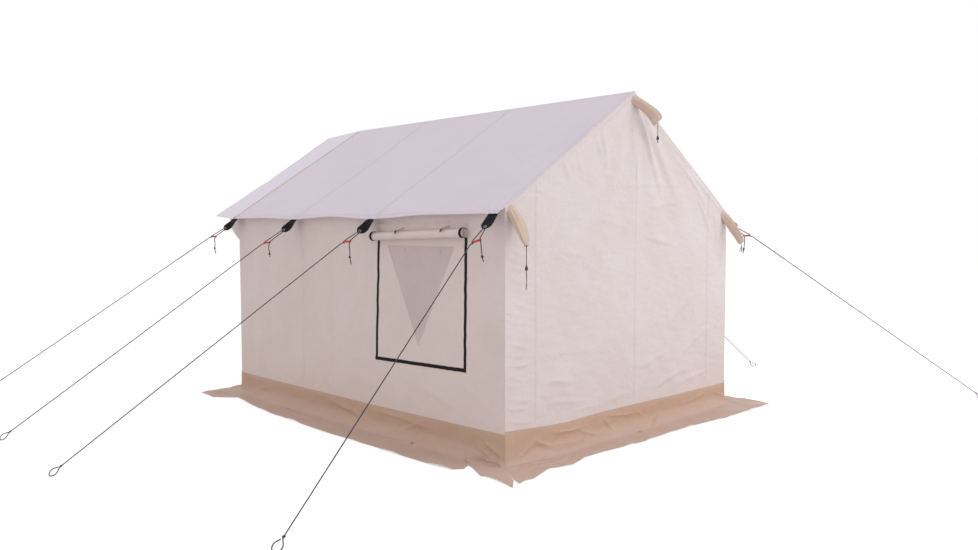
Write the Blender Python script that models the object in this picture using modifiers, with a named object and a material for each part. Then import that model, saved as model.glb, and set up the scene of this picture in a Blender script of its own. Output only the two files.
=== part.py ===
# Canvas wall tent: a roof with a porch overhang, four walls with a skirt, a side window with
# a roll-up storm flap, a door, an inside pole frame, pole sleeves and eight guy lines.
# Metres, +Z up. The ridge runs along Y, the door and the porch are at +Y.
import math

import bmesh
import bpy
from mathutils import Matrix, Vector

# Room and roof
ROOM_WIDTH = 2.44
ROOM_LENGTH = 3.05
WALL_HEIGHT = 1.48
RIDGE_HEIGHT = 2.26
EAVE_REACH = 0.06
PORCH_RIDGE_REACH = 0.516
PORCH_EAVE_REACH = 0.284
PORCH_RIDGE_DROP = 0.030
PORCH_EAVE_LIFT = 0.026
GUSSET_REACH = 0.155
GUSSET_HEIGHT = 0.205
GUSSET_EDGE = 0.105
GUSSET_BELLY = 0.012
CANVAS = 0.002
GAP = 0.0003
ROOF_SAG = 0.012
HEM_LIFT = 0.001
HEM_BAY_STEPS = 5
FLOOR_CLEARANCE = 0.003

# Wall folds
REAR_FOLD_DEPTH = 0.022
SIDE_FOLD_DEPTH = 0.012
DOOR_FOLD_DEPTH = 0.012
FOLD_MARGIN = 0.22
FOLD_START = 0.26
FOLD_ANGLE = math.radians(13)
SIDE_FOLD_PITCH = 0.30

# Skirt of darker cloth, a band on the wall and a flap on the ground
SKIRT_BAND = 0.184
SKIRT_REACH = 0.245
SKIRT_BEND = 0.022
SKIRT_SLIT_SHARE = 0.07

# Door
DOOR_WIDTH = 0.95
DOOR_HEIGHT = 1.74
DOOR_FLOOR_GAP = 0.012
DOOR_SKIRT_MARGIN = 0.03

# Window. Drops are measured down from the top of the wall.
WINDOW_CENTRE_SHARE = -0.2545
MESH_WIDTH = 0.630
MESH_DROP = 0.230
MESH_HEIGHT = 0.627
MESH_LAP = 0.015
MESH_CLOTH = 0.001
TAPE_SPAN = 0.882
TAPE_DROP = 0.175
TAPE_HEIGHT = 0.811
TAPE_WIDTH = 0.020
TAPE_THICKNESS = 0.0015
ROLL_LENGTH = 0.892
ROLL_RADIUS = 0.030
ROLL_DROP = 0.158
ROLL_CLOTH = 0.004
ROLL_CORE = 0.010
ROLL_TURNS = 2.5
ROLL_STEPS = 26
ROLL_OFFSET = -0.006
FLAP_DROP = 0.088
FLAP_WIDTH = 0.872
STRAP_WIDTH = 0.014
STRAP_THICKNESS = 0.0015
STRAP_DROP = 0.078
STRAP_WRAP = tuple(math.radians(degrees) for degrees in (75, 100, 125, 150))
TOGGLE_SPAN = 0.436
TOGGLE_OFFSET = -0.055
TOGGLE_LENGTH = 0.027
TOGGLE_RADIUS = 0.0045
TOGGLE_ANGLE = math.radians(30)
TOGGLE_END_SHARE = 0.55
TOGGLE_SHOULDER_SHARE = 0.85

# Pole frame inside the tent
POLE_RADIUS = 0.0127
POLE_WALL = 0.0016
FITTING_RADIUS = 0.0165
FITTING_ARM = 0.075
FITTING_LENGTH = 0.070
POLE_SETBACK = 0.026
FOOT_WIDTH = 0.090
FOOT_THICKNESS = 0.005

# Pole sleeves on the gables, closed with a drawcord
RIDGE_SLEEVE_RADIUS = 0.034
RIDGE_SLEEVE_DROP = 0.058
EAVE_SLEEVE_RADIUS = 0.038
EAVE_SLEEVE_INSET = 0.052
EAVE_SLEEVE_DROP = 0.030
SLEEVE_CLOTH = 0.001
SLEEVE_HOLE_SHARE = 0.75
RIDGE_SLEEVE_LENGTH = 0.205
EAVE_SLEEVE_LENGTH = 0.235
DRAWCORD_RADIUS = 0.0015
DRAWCORD_ENTRY = 0.006
DRAWCORD_LENGTHS = {"ridge": 0.136, "left": 0.245, "right": 0.065}
DRAWCORD_KNOT_SHARE = 0.88
LOCK_RADIUS = 0.0085
LOCK_LENGTH = 0.026
LOCK_NECK = 0.0055
LOCK_PLACES = {"ridge": 0.100, "left": 0.1225}

# Tie-out pads with their grommets, guy ropes and sliders
PAD_ROOT = 0.020
PAD_LENGTH = 0.108
PAD_WIDTH = 0.074
PAD_SHOULDER_SHARE = 0.55
PAD_THICKNESS = 0.004
PAD_TIP = 0.017
PAD_TIP_ANGLES = tuple(math.radians(degrees) for degrees in (75, 25, -25, -75))
ROPE_ROLL = math.radians(-16)
GROMMET_RADIUS = 0.009
GROMMET_WIRE = 0.003
ROPE_RADIUS = 0.003
ROPE_SEAT = 0.002
ROPE_BEND = 0.0068
ROPE_BEND_STEPS = 6
SLIDER_HOLE_PITCH = 0.022
SLIDER_WIDTH = 0.016
SLIDER_THICKNESS = 0.008
SLIDER_CLEARANCE = 0.0005
TAIL_LENGTH = 0.135
TAIL_BEND = 0.012
TAIL_KNOT_SHARE = 0.72
STAKE_LOOP = 0.026
STAKE_LOOP_ANGLES = tuple(math.radians(degrees) for degrees in range(140, -141, -40))
STAKE_NECK = 0.046
KNOT_SHARE = 2.1

# A round piece's flat facets lie this much nearer its middle than its corners
EIGHT_SIDED_SHARE = math.cos(math.pi / 8)
TEN_SIDED_SHARE = math.cos(math.pi / 10)

# Building steps
CLOTH_SMOOTH = math.radians(40)
HARD_SMOOTH = math.radians(35)
MERGE_DISTANCE = GAP / 10
TUBE_DETAIL = 2
ROOF_ROWS = 8
LINE_PARTS = 8
PORCH_COLUMNS = 4

# Worked out from the sizes above
HALF_WIDTH = ROOM_WIDTH / 2
HALF_LENGTH = ROOM_LENGTH / 2
EAVE_X = HALF_WIDTH + EAVE_REACH
SLOPE = (RIDGE_HEIGHT - WALL_HEIGHT) / HALF_WIDTH
ROOF_COS = math.cos(math.atan(SLOPE))
POLE_DROP = CANVAS + (FITTING_RADIUS + GAP) / ROOF_COS
POLE_X = HALF_WIDTH - CANVAS - GAP - FITTING_RADIUS
POLE_Y = HALF_LENGTH - CANVAS - GAP - FITTING_RADIUS
RIDGE_POLE_Z = RIDGE_HEIGHT - POLE_DROP
EAVE_POLE_Z = RIDGE_POLE_Z - SLOPE * POLE_X
WALL_TOP = WALL_HEIGHT - CANVAS - GAP
MESH_TOP = WALL_HEIGHT - MESH_DROP
TAPE_TOP = WALL_HEIGHT - TAPE_DROP
TAPE_BOTTOM = TAPE_TOP - TAPE_HEIGHT
ROLL_HEIGHT = WALL_HEIGHT - ROLL_DROP
FLAP_TOP = WALL_HEIGHT - FLAP_DROP
STRAP_TOP = WALL_HEIGHT - STRAP_DROP
WINDOW_Y = WINDOW_CENTRE_SHARE * ROOM_LENGTH
ROLL_Y = WINDOW_Y + ROLL_OFFSET
FLAP_FACE = HALF_WIDTH + GAP
ROLL_X = FLAP_FACE + CANVAS + GAP + ROLL_RADIUS
ROOM_CENTRE_Y = (SKIRT_REACH - PORCH_RIDGE_REACH) / 2

# Side, place along the room as a share of its length, where the stake stands from the eave
# (how far out, and how far along the room), how far the rope pulls the hem down, how the pad
# is turned on its rope in degrees, and how far its slider is from its grommet.
GUYS = {
    "rear_left": (-1, -0.4870, (1.52, -0.240), 0.0, 10, 0.112),
    "second_left": (-1, -0.1148, (1.875, 0.45), 0.020, -12, 0.110),
    "third_left": (-1, 0.1934, (1.85, 0.575), 0.014, -10, 0.150),
    "front_left": (-1, 0.4870, (1.85, 0.85), 0.0, -10, 0.112),
    "rear_right": (1, -0.4870, (1.50, -1.45), 0.0, 0, 0.112),
    "second_right": (1, -0.1148, (1.68, -0.53), 0.020, 0, 0.112),
    "third_right": (1, 0.1934, (1.85, 0.09), 0.014, 0, 0.112),
    "front_right": (1, 0.4870, (1.75, 0.42), 0.0, 0, 0.112),
}

# Points of a sleeve's centre line, as shares of its length: across, out and down
SLEEVE_SHARES = {
    "ridge": (
        (0.0, 0.0, 0.0),
        (0.0, 0.08, 0.0),
        (0.05, 0.26, 0.04),
        (0.20, 0.44, 0.18),
        (0.34, 0.55, 0.40),
        (0.42, 0.60, 0.60),
        (0.44, 0.61, 0.73),
    ),
    "left": (
        (0.0, 0.0, 0.0),
        (0.0, 0.07, 0.0),
        (0.0, 0.23, 0.05),
        (0.0, 0.38, 0.22),
        (0.0, 0.46, 0.46),
        (0.0, 0.485, 0.68),
        (0.0, 0.49, 0.83),
    ),
    "right": (
        (0.0, 0.0, 0.0),
        (0.0, 0.07, 0.0),
        (0.03, 0.24, 0.06),
        (0.10, 0.40, 0.25),
        (0.18, 0.49, 0.52),
        (0.23, 0.52, 0.76),
        (0.25, 0.53, 0.90),
    ),
}
SLEEVE_WIDTH_SHARES = (1.0, 1.0, 0.95, 0.88, 0.78, 0.55)

collections = {}
finishes = {}


def clear_scene():
    for item in list(bpy.data.objects):
        bpy.data.objects.remove(item, do_unlink=True)


def new_collection(key, name):
    collections[key] = bpy.data.collections.new(name)
    bpy.context.scene.collection.children.link(collections[key])


def finish(name, colour, roughness, metallic=0.0):
    made = bpy.data.materials.new(name)
    made.use_nodes = True
    shader = made.node_tree.nodes["Principled BSDF"]
    shader.inputs["Base Color"].default_value = (*colour, 1.0)
    shader.inputs["Roughness"].default_value = roughness
    shader.inputs["Metallic"].default_value = metallic
    made.diffuse_color = (*colour, 1.0)
    finishes[name] = made


def make_finishes():
    finish("roof_canvas", (0.67, 0.60, 0.67), 0.85)
    finish("wall_canvas", (0.62, 0.56, 0.53), 0.88)
    finish("porch_canvas", (0.74, 0.68, 0.76), 0.85)
    finish("skirt_cloth", (0.45, 0.33, 0.27), 0.80)
    finish("sleeve_canvas", (0.60, 0.47, 0.38), 0.88)
    finish("black_tape", (0.02, 0.018, 0.022), 0.75)
    finish("window_net", (0.42, 0.39, 0.39), 0.70)
    finish("rope", (0.09, 0.08, 0.09), 0.80)
    finish("red_plastic", (0.60, 0.05, 0.05), 0.35)
    finish("black_plastic", (0.02, 0.02, 0.02), 0.40)
    finish("pole_metal", (0.60, 0.61, 0.62), 0.35, 0.95)
    finish("fitting_steel", (0.42, 0.43, 0.44), 0.45, 0.90)
    finish("ring_steel", (0.70, 0.70, 0.72), 0.25, 1.0)


def add(name, data, material, parent, location=(0, 0, 0)):
    made = bpy.data.objects.new(name, data)
    made.location = location
    made.parent = parent
    data.materials.clear()
    data.materials.append(finishes[material])
    collections["parts"].objects.link(made)
    return made


def ease(share):
    share = min(max(share, 0.0), 1.0)
    return share * share * (3 - 2 * share)


def swell(share):
    return math.sin(math.pi * min(max(share, 0.0), 1.0)) ** 2


def mesh_from(bm, name, smooth_angle=None):
    bmesh.ops.recalc_face_normals(bm, faces=bm.faces)
    data = bpy.data.meshes.new(name)
    bm.to_mesh(data)
    bm.free()
    if smooth_angle:
        data.shade_smooth()
        data.set_sharp_from_angle(angle=smooth_angle)
    return data


# A sheet of cloth: a grid laid by a rule, then given its thickness along one direction.
def cloth(name, columns, rows, point_at, through):
    bm = bmesh.new()
    bmesh.ops.create_grid(bm, x_segments=columns, y_segments=rows, size=1)
    for vertex in bm.verts:
        vertex.co = point_at((vertex.co.x + 1) / 2, (vertex.co.y + 1) / 2)
    copy = bmesh.ops.duplicate(bm, geom=bm.faces[:])
    copied = [item for item in copy["geom"] if isinstance(item, bmesh.types.BMVert)]
    bmesh.ops.translate(bm, verts=copied, vec=through)
    rims = [edge for edge in bm.edges if edge.is_boundary]
    bmesh.ops.bridge_loops(bm, edges=rims)
    return mesh_from(bm, name, CLOTH_SMOOTH)


# A flat piece: closed outlines filled in the XY plane, half its thickness each way.
def plate(name, outlines, thickness):
    flat = bpy.data.curves.new(name, "CURVE")
    flat.dimensions = "2D"
    flat.fill_mode = "BOTH"
    flat.extrude = thickness / 2
    for outline in outlines:
        spline = flat.splines.new("POLY")
        spline.points.add(len(outline) - 1)
        for point, (x, y) in zip(spline.points, outline, strict=True):
            point.co = (x, y, 0, 1)
        spline.use_cyclic_u = True
    return as_mesh(flat, name)


def as_mesh(data, name):
    holder = bpy.data.objects.new(name, data)
    bpy.context.scene.collection.objects.link(holder)
    bpy.context.view_layer.update()
    seen = holder.evaluated_get(bpy.context.evaluated_depsgraph_get())
    made = bpy.data.meshes.new_from_object(seen)
    bpy.data.objects.remove(holder, do_unlink=True)
    bm = bmesh.new()
    bm.from_mesh(made)
    bpy.data.meshes.remove(made)
    bmesh.ops.remove_doubles(bm, verts=bm.verts, dist=MERGE_DISTANCE)
    return mesh_from(bm, name)


def tube(name, points, radius, shares=None, capped=True):
    path = bpy.data.curves.new(name, "CURVE")
    path.dimensions = "3D"
    path.bevel_depth = radius
    path.bevel_resolution = TUBE_DETAIL
    path.use_fill_caps = capped
    spline = path.splines.new("POLY")
    spline.points.add(len(points) - 1)
    for index, (point, place) in enumerate(zip(spline.points, points, strict=True)):
        point.co = (*place, 1)
        point.radius = shares[index] if shares else 1.0
    return path


def circle(radius, steps, x=0.0, y=0.0, turn=0.0):
    angles = [turn + 2 * math.pi * step / steps for step in range(steps)]
    return [(x + radius * math.cos(a), y + radius * math.sin(a)) for a in angles]


def moved(data, matrix, name):
    bm = bmesh.new()
    bm.from_mesh(data)
    bmesh.ops.transform(bm, matrix=matrix, verts=bm.verts)
    return mesh_from(bm, name, HARD_SMOOTH)


def mirror_x(data, name):
    bm = bmesh.new()
    bm.from_mesh(data)
    bmesh.ops.scale(bm, vec=(-1, 1, 1), verts=bm.verts)
    return mesh_from(bm, name, CLOTH_SMOOTH)


def shape(target, other_mesh, name, operation):
    other = bpy.data.objects.new(name, other_mesh)
    other.parent = target.parent
    other.location = target.location
    other.hide_render = True
    other.display_type = "WIRE"
    collections["cutters"].objects.link(other)
    step = target.modifiers.new(name, "BOOLEAN")
    step.operation = operation
    step.solver = "MANIFOLD"
    step.object = other


def cut(target, other_mesh, name):
    shape(target, other_mesh, name, "DIFFERENCE")


def fuse(target, other_mesh, name):
    shape(target, other_mesh, name, "UNION")


# Heights of the canvas above the floor
def roof_top(x):
    return RIDGE_HEIGHT - SLOPE * abs(x)


def porch_top(x, share):
    across = abs(x) / EAVE_X
    return roof_top(x) + share * (PORCH_EAVE_LIFT * across - PORCH_RIDGE_DROP * (1 - across))


def porch_reach(x):
    across = abs(x) / EAVE_X
    return PORCH_RIDGE_REACH + (PORCH_EAVE_REACH - PORCH_RIDGE_REACH) * across


# Places along the hem with their heights over a straight one: pulled down across each guy
# line's pad, and a little up between the pads.
def hem_stops():
    pads = sorted((row[1] * ROOM_LENGTH, row[3]) for row in GUYS.values() if row[0] < 0)
    half = PAD_WIDTH / 2
    stops = [(-HALF_LENGTH, 0.0)]
    for (low, low_dip), (high, high_dip) in zip(pads[:-1], pads[1:], strict=True):
        start, end = low + half, high - half
        for step in range(HEM_BAY_STEPS + 1):
            share = step / HEM_BAY_STEPS
            dip = low_dip * ease(1 - 2 * share) + high_dip * ease(2 * share - 1)
            stops.append((start + (end - start) * share, HEM_LIFT * swell(share) - dip))
    return stops + [(HALF_LENGTH, 0.0)]


# The roof: two slopes sewn at the ridge, sagging a little between the three frames.
def build_roof(parent):
    rows = ROOF_ROWS
    stops = hem_stops()
    columns = len(stops) - 1

    def slope_point(u, v):
        step, row = round(u * columns), round(v * rows)
        y, lift = stops[step][0], 0.0
        x = GAP / 2 + (HALF_WIDTH - GAP / 2) * min(row / (rows - 1), 1.0)
        if row == rows:
            x, lift = EAVE_X, stops[step][1]
        sag = ROOF_SAG * swell(y / HALF_LENGTH % 1.0) * swell(min(x / HALF_WIDTH, 1.0))
        return Vector((x, y, roof_top(x) - sag + lift))

    def porch_point(u, v):
        x = EAVE_X * (2 * v - 1)
        reach = GAP + (porch_reach(x) - GAP) * u
        return Vector((x, HALF_LENGTH + reach, porch_top(x, reach / porch_reach(x))))

    down = Vector((0, 0, -CANVAS))
    right = cloth("roof_right", columns, rows, slope_point, down)
    add("roof_right", right, "roof_canvas", parent)
    add("roof_left", mirror_x(right, "roof_left"), "roof_canvas", parent)
    porch = cloth("porch_overhang", PORCH_COLUMNS, 2 * rows, porch_point, down)
    add("porch_overhang", porch, "porch_canvas", parent)


# A gusset fills the corner between each side wall's front edge and the porch's eave.
def gusset_outline():
    start, end = HALF_LENGTH + GAP, HALF_LENGTH + GUSSET_REACH

    def under_porch(y):
        share = (y - HALF_LENGTH) / porch_reach(HALF_WIDTH)
        return porch_top(HALF_WIDTH, share) - CANVAS - 2 * GAP

    low, outer = under_porch(start) - GUSSET_HEIGHT, under_porch(end) - GUSSET_EDGE
    middle = ((start + end) / 2, (low + outer) / 2 - GUSSET_BELLY)
    return [(start, low), middle, (end, outer), (end, under_porch(end)), (start, under_porch(start))]


def build_gussets(parent):
    face = HALF_WIDTH - CANVAS / 2
    for key, x in (("left", -face), ("right", face)):
        name = "porch_gusset_" + key
        add(name, stood(name, [gusset_outline()], CANVAS, x), "wall_canvas", parent)


def side_fold(y, z):
    legs = min(ease((HALF_LENGTH - y) / FOLD_MARGIN), ease(y / FOLD_MARGIN))
    rows = ease((z - SKIRT_BAND) / FOLD_MARGIN) * ease((WALL_TOP - z) / FOLD_MARGIN)
    return SIDE_FOLD_DEPTH * legs * rows * swell(y / SIDE_FOLD_PITCH % 1.0)


def window_outline(lap):
    half, top = MESH_WIDTH / 2 + lap, MESH_TOP + lap
    apex = MESH_TOP - MESH_HEIGHT - lap
    return [(WINDOW_Y - half, top), (WINDOW_Y, apex), (WINDOW_Y + half, top)]


# Stands a plate drawn in the XY plane upright at x, with its own X along Y.
def stood(name, outlines, thickness, x):
    turn = Matrix(((0, 0, 1, x), (1, 0, 0, 0), (0, 1, 0, 0), (0, 0, 0, 1)))
    return moved(plate(name, outlines, thickness), turn, name)


def build_side_walls(parent):
    def wall_point(u, v):
        y = ROOM_LENGTH * (u - 1 / 2)
        z = FLOOR_CLEARANCE + (WALL_TOP - FLOOR_CLEARANCE) * v
        return Vector((HALF_WIDTH - side_fold(y, z), y, z))

    right = cloth("side_wall_right", 20, 8, wall_point, Vector((-CANVAS, 0, 0)))
    add("side_wall_right", right, "wall_canvas", parent)
    left = add("side_wall_left", mirror_x(right, "side_wall_left"), "wall_canvas", parent)
    hole = stood("window_hole", [window_outline(0.0)], HALF_WIDTH / 4, -HALF_WIDTH)
    cut(left, hole, "window_hole")


def rear_fold(x, z):
    down = RIDGE_HEIGHT - z
    near_side = ease((HALF_WIDTH - abs(x)) / FOLD_MARGIN)
    near_roof = ease((roof_top(x) - z - FOLD_START) / FOLD_MARGIN)
    near_skirt = ease((z - SKIRT_BAND - FOLD_MARGIN / 2) / FOLD_MARGIN)
    fan = math.atan2(x, down) / FOLD_ANGLE
    return REAR_FOLD_DEPTH * near_side * near_roof * near_skirt * swell(fan % 1.0)


def sleeve_roots():
    low = WALL_TOP - EAVE_SLEEVE_DROP - SLOPE * (EAVE_SLEEVE_RADIUS - EAVE_SLEEVE_INSET)
    out = HALF_WIDTH - EAVE_SLEEVE_INSET
    return {
        "ridge": (0.0, RIDGE_HEIGHT - RIDGE_SLEEVE_DROP, RIDGE_SLEEVE_RADIUS),
        "left": (-out, low, EAVE_SLEEVE_RADIUS),
        "right": (out, low, EAVE_SLEEVE_RADIUS),
    }


# One gable panel between two widths, from a bottom height up to the roof.
def gable_panel(name, columns, rows, low_x, high_x, bottom, fold, face, through):
    def point(u, v):
        x = low_x + (high_x - low_x) * u
        top = roof_top(x) - CANVAS - GAP
        z = bottom + (top - bottom) * v
        return Vector((x, face * (HALF_LENGTH + fold(x, z)), z))

    return cloth(name, columns, rows, point, through)


def build_gables(parent):
    edge = HALF_WIDTH - CANVAS - GAP
    inward = Vector((0, CANVAS, 0))
    rear = gable_panel(
        "rear_wall", 18, 9, -edge, edge, FLOOR_CLEARANCE, rear_fold, -1, inward
    )
    wall = add("rear_wall", rear, "wall_canvas", parent)
    place = Matrix.Translation((0, -HALF_LENGTH, 0)) @ Matrix.Rotation(-math.pi / 2, 4, "X")
    for key, (x, z, radius) in sleeve_roots().items():
        hole = plate("hole", [circle(SLEEVE_HOLE_SHARE * radius, 10, x, -z)], HALF_LENGTH / 4)
        cut(wall, moved(hole, place, "hole"), "sleeve_hole_" + key)

    def flat(x, z):
        return 0.0

    front = gable_panel(
        "front_wall", 12, 5, -edge, edge, FLOOR_CLEARANCE, flat, 1, -inward
    )
    wall = add("front_wall", front, "wall_canvas", parent)
    doorway = bmesh.new()
    bmesh.ops.create_cube(doorway, size=1)
    height = DOOR_HEIGHT + GAP
    bmesh.ops.scale(doorway, vec=(DOOR_WIDTH, HALF_LENGTH / 4, 2 * height), verts=doorway.verts)
    bmesh.ops.translate(doorway, vec=(0, HALF_LENGTH, 0), verts=doorway.verts)
    cut(wall, mesh_from(doorway, "doorway"), "doorway")


# Each door flap's origin is on its sewn edge, where it swings.
def build_door(parent):
    hinge_x = DOOR_WIDTH / 2
    width = hinge_x - GAP - GAP / 2

    def flap_point(u, v):
        z = DOOR_FLOOR_GAP + (DOOR_HEIGHT - DOOR_FLOOR_GAP) * v
        bulge = DOOR_FOLD_DEPTH * swell(v) * swell(2 * u % 1.0) * ease(u)
        return Vector((-GAP - width * u, bulge, z))

    right = cloth("door_flap_right", 6, 6, flap_point, Vector((0, -CANVAS, 0)))
    add("door_flap_right", right, "wall_canvas", parent, (hinge_x, HALF_LENGTH, 0))
    left = mirror_x(right, "door_flap_left")
    add("door_flap_left", left, "wall_canvas", parent, (-hinge_x, HALF_LENGTH, 0))


def skirt_profile():
    arc = [
        (
            GAP + SKIRT_BEND * (1 - math.cos(math.pi / 2 * step / 2)),
            SKIRT_BEND * (1 - math.sin(math.pi / 2 * step / 2)),
        )
        for step in range(3)
    ]
    return [(GAP, SKIRT_BAND)] + arc + [(SKIRT_REACH, 0.0)]


# One run of skirt along X from low to high, standing on a wall at y = 0 that faces -Y.
# An end on a corner of the tent is mitred and slit a little, wider towards its edge.
def skirt_run(name, columns, low, high, low_mitre, high_mitre):
    profile = skirt_profile()
    bm = bmesh.new()
    bmesh.ops.create_grid(bm, x_segments=columns, y_segments=len(profile) - 1, size=1)
    for vertex in bm.verts:
        u = (vertex.co.x + 1) / 2
        out, z = profile[round((vertex.co.y + 1) / 2 * (len(profile) - 1))]
        open_out = out - GAP - SKIRT_SLIT_SHARE * out
        start = low - low_mitre * open_out
        end = high + high_mitre * open_out
        vertex.co = (start + (end - start) * u, -out, z)
    return mesh_from(bm, name)


def add_skirt(name, run, matrix, parent):
    made = add(name, run, "skirt_cloth", parent)
    made.matrix_local = matrix
    wall = made.modifiers.new("thickness", "SOLIDIFY")
    wall.thickness = CANVAS
    wall.offset = 1
    wall.use_even_offset = True


def face_outward(data, outward_up):
    bm = bmesh.new()
    bm.from_mesh(data)
    bm.normal_update()
    if sum(face.normal.dot(outward_up) for face in bm.faces) < 0:
        bmesh.ops.reverse_faces(bm, faces=bm.faces)
    bm.to_mesh(data)
    bm.free()
    return data


def build_skirt(parent):
    outward_up = Vector((0, -1, 1))

    def run(name, columns, low, high, low_mitre, high_mitre):
        return face_outward(skirt_run(name, columns, low, high, low_mitre, high_mitre), outward_up)

    at_rear = Matrix.Translation((0, -HALF_LENGTH, 0))
    at_front = Matrix.Translation((0, HALF_LENGTH, 0)) @ Matrix.Rotation(math.pi, 4, "Z")
    at_left = Matrix.Translation((-HALF_WIDTH, 0, 0)) @ Matrix.Rotation(-math.pi / 2, 4, "Z")
    at_right = Matrix.Translation((HALF_WIDTH, 0, 0)) @ Matrix.Rotation(math.pi / 2, 4, "Z")
    rear = run("rear_run", 10, -HALF_WIDTH, HALF_WIDTH, 1, 1)
    side = run("side_run", 12, -HALF_LENGTH, HALF_LENGTH, 1, 1)
    door = DOOR_WIDTH / 2 + DOOR_SKIRT_MARGIN
    half = run("front_run", 3, door, HALF_WIDTH, 0, 1)
    other = run("front_run", 3, -HALF_WIDTH, -door, 1, 0)
    add_skirt("sod_cloth_rear", rear, at_rear, parent)
    add_skirt("sod_cloth_left", side, at_left, parent)
    add_skirt("sod_cloth_right", side.copy(), at_right, parent)
    add_skirt("sod_cloth_front_left", half, at_front, parent)
    add_skirt("sod_cloth_front_right", other, at_front, parent)


def tape_outline():
    low, high = WINDOW_Y - TAPE_SPAN / 2, WINDOW_Y + TAPE_SPAN / 2
    return [
        (low, TAPE_TOP),
        (low, TAPE_BOTTOM),
        (high, TAPE_BOTTOM),
        (high, TAPE_TOP),
        (high - TAPE_WIDTH, TAPE_TOP),
        (high - TAPE_WIDTH, TAPE_BOTTOM + TAPE_WIDTH),
        (low + TAPE_WIDTH, TAPE_BOTTOM + TAPE_WIDTH),
        (low + TAPE_WIDTH, TAPE_TOP),
    ]


# The rolled storm flap in section: one band of cloth wound in a spiral.
def roll_section():
    pitch = (ROLL_RADIUS - ROLL_CORE) / ROLL_TURNS
    outer, inner = [], []
    for step in range(ROLL_STEPS + 1):
        angle = 2 * math.pi * ROLL_TURNS * step / ROLL_STEPS
        radius = ROLL_RADIUS - pitch * angle / (2 * math.pi)
        outer.append((radius * math.cos(angle), radius * math.sin(angle)))
        inner.append(
            ((radius - ROLL_CLOTH) * math.cos(angle), (radius - ROLL_CLOTH) * math.sin(angle))
        )
    print("least gap between the roll's turns, mm:", round(1000 * least_gap(outer, inner), 2))
    return outer + inner[::-1]


# The least gap between two turns: points along the band's inner line against those along its
# outer line that lie at least half a turn further in.
def least_gap(outer, inner):
    share_of_turn = ROLL_STEPS / ROLL_TURNS
    outer_points, inner_points = along_line(outer), along_line(inner)
    return min(
        math.dist(a, b)
        for index, a in inner_points
        for other, b in outer_points
        if other - index > share_of_turn / 2
    )


# Points along a line, each with its place counted in corners.
def along_line(corners):
    return [
        (index + part / LINE_PARTS, Vector(start).lerp(Vector(end), part / LINE_PARTS))
        for index, (start, end) in enumerate(zip(corners[:-1], corners[1:], strict=True))
        for part in range(LINE_PARTS)
    ]


def toggle_profile():
    half = TOGGLE_LENGTH / 2
    end, shoulder = TOGGLE_END_SHARE * TOGGLE_RADIUS, TOGGLE_SHOULDER_SHARE * TOGGLE_RADIUS
    upper = [(0.0, half), (end, half), (shoulder, half / 2)]
    return upper + [(TOGGLE_RADIUS, 0.0)] + [(x, -z) for x, z in upper[::-1]]


def turned(name, profile, steps):
    data = bpy.data.meshes.new(name)
    edges = [(index, index + 1) for index in range(len(profile) - 1)]
    data.from_pydata([(x, 0, z) for x, z in profile], edges, [])
    holder = bpy.data.objects.new(name, data)
    bpy.context.scene.collection.objects.link(holder)
    spin = holder.modifiers.new("turn", "SCREW")
    spin.steps = steps
    spin.render_steps = steps
    spin.use_merge_vertices = True
    spin.merge_threshold = MERGE_DISTANCE
    bpy.context.view_layer.update()
    seen = holder.evaluated_get(bpy.context.evaluated_depsgraph_get())
    made = bpy.data.meshes.new_from_object(seen)
    bpy.data.objects.remove(holder, do_unlink=True)
    bm = bmesh.new()
    bm.from_mesh(made)
    bpy.data.meshes.remove(made)
    bmesh.ops.remove_doubles(bm, verts=bm.verts, dist=MERGE_DISTANCE)
    return mesh_from(bm, name, CLOTH_SMOOTH)


# Strap in section: from the wall above the flap, over the roll and down its front.
def strap_section():
    near, far = ROLL_RADIUS + GAP, ROLL_RADIUS + GAP + STRAP_THICKNESS
    inner = [(ROLL_X - near * math.cos(a), ROLL_HEIGHT + near * math.sin(a)) for a in STRAP_WRAP]
    outer = [(ROLL_X - far * math.cos(a), ROLL_HEIGHT + far * math.sin(a)) for a in STRAP_WRAP]
    back = FLAP_FACE + CANVAS + GAP
    front = back + STRAP_THICKNESS
    knee = (FLAP_TOP + ROLL_HEIGHT) / 2
    inner = [(back, STRAP_TOP), (back, knee)] + inner
    outer = [(front, STRAP_TOP), (front, knee + STRAP_THICKNESS)] + outer
    return inner + outer[::-1]


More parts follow.
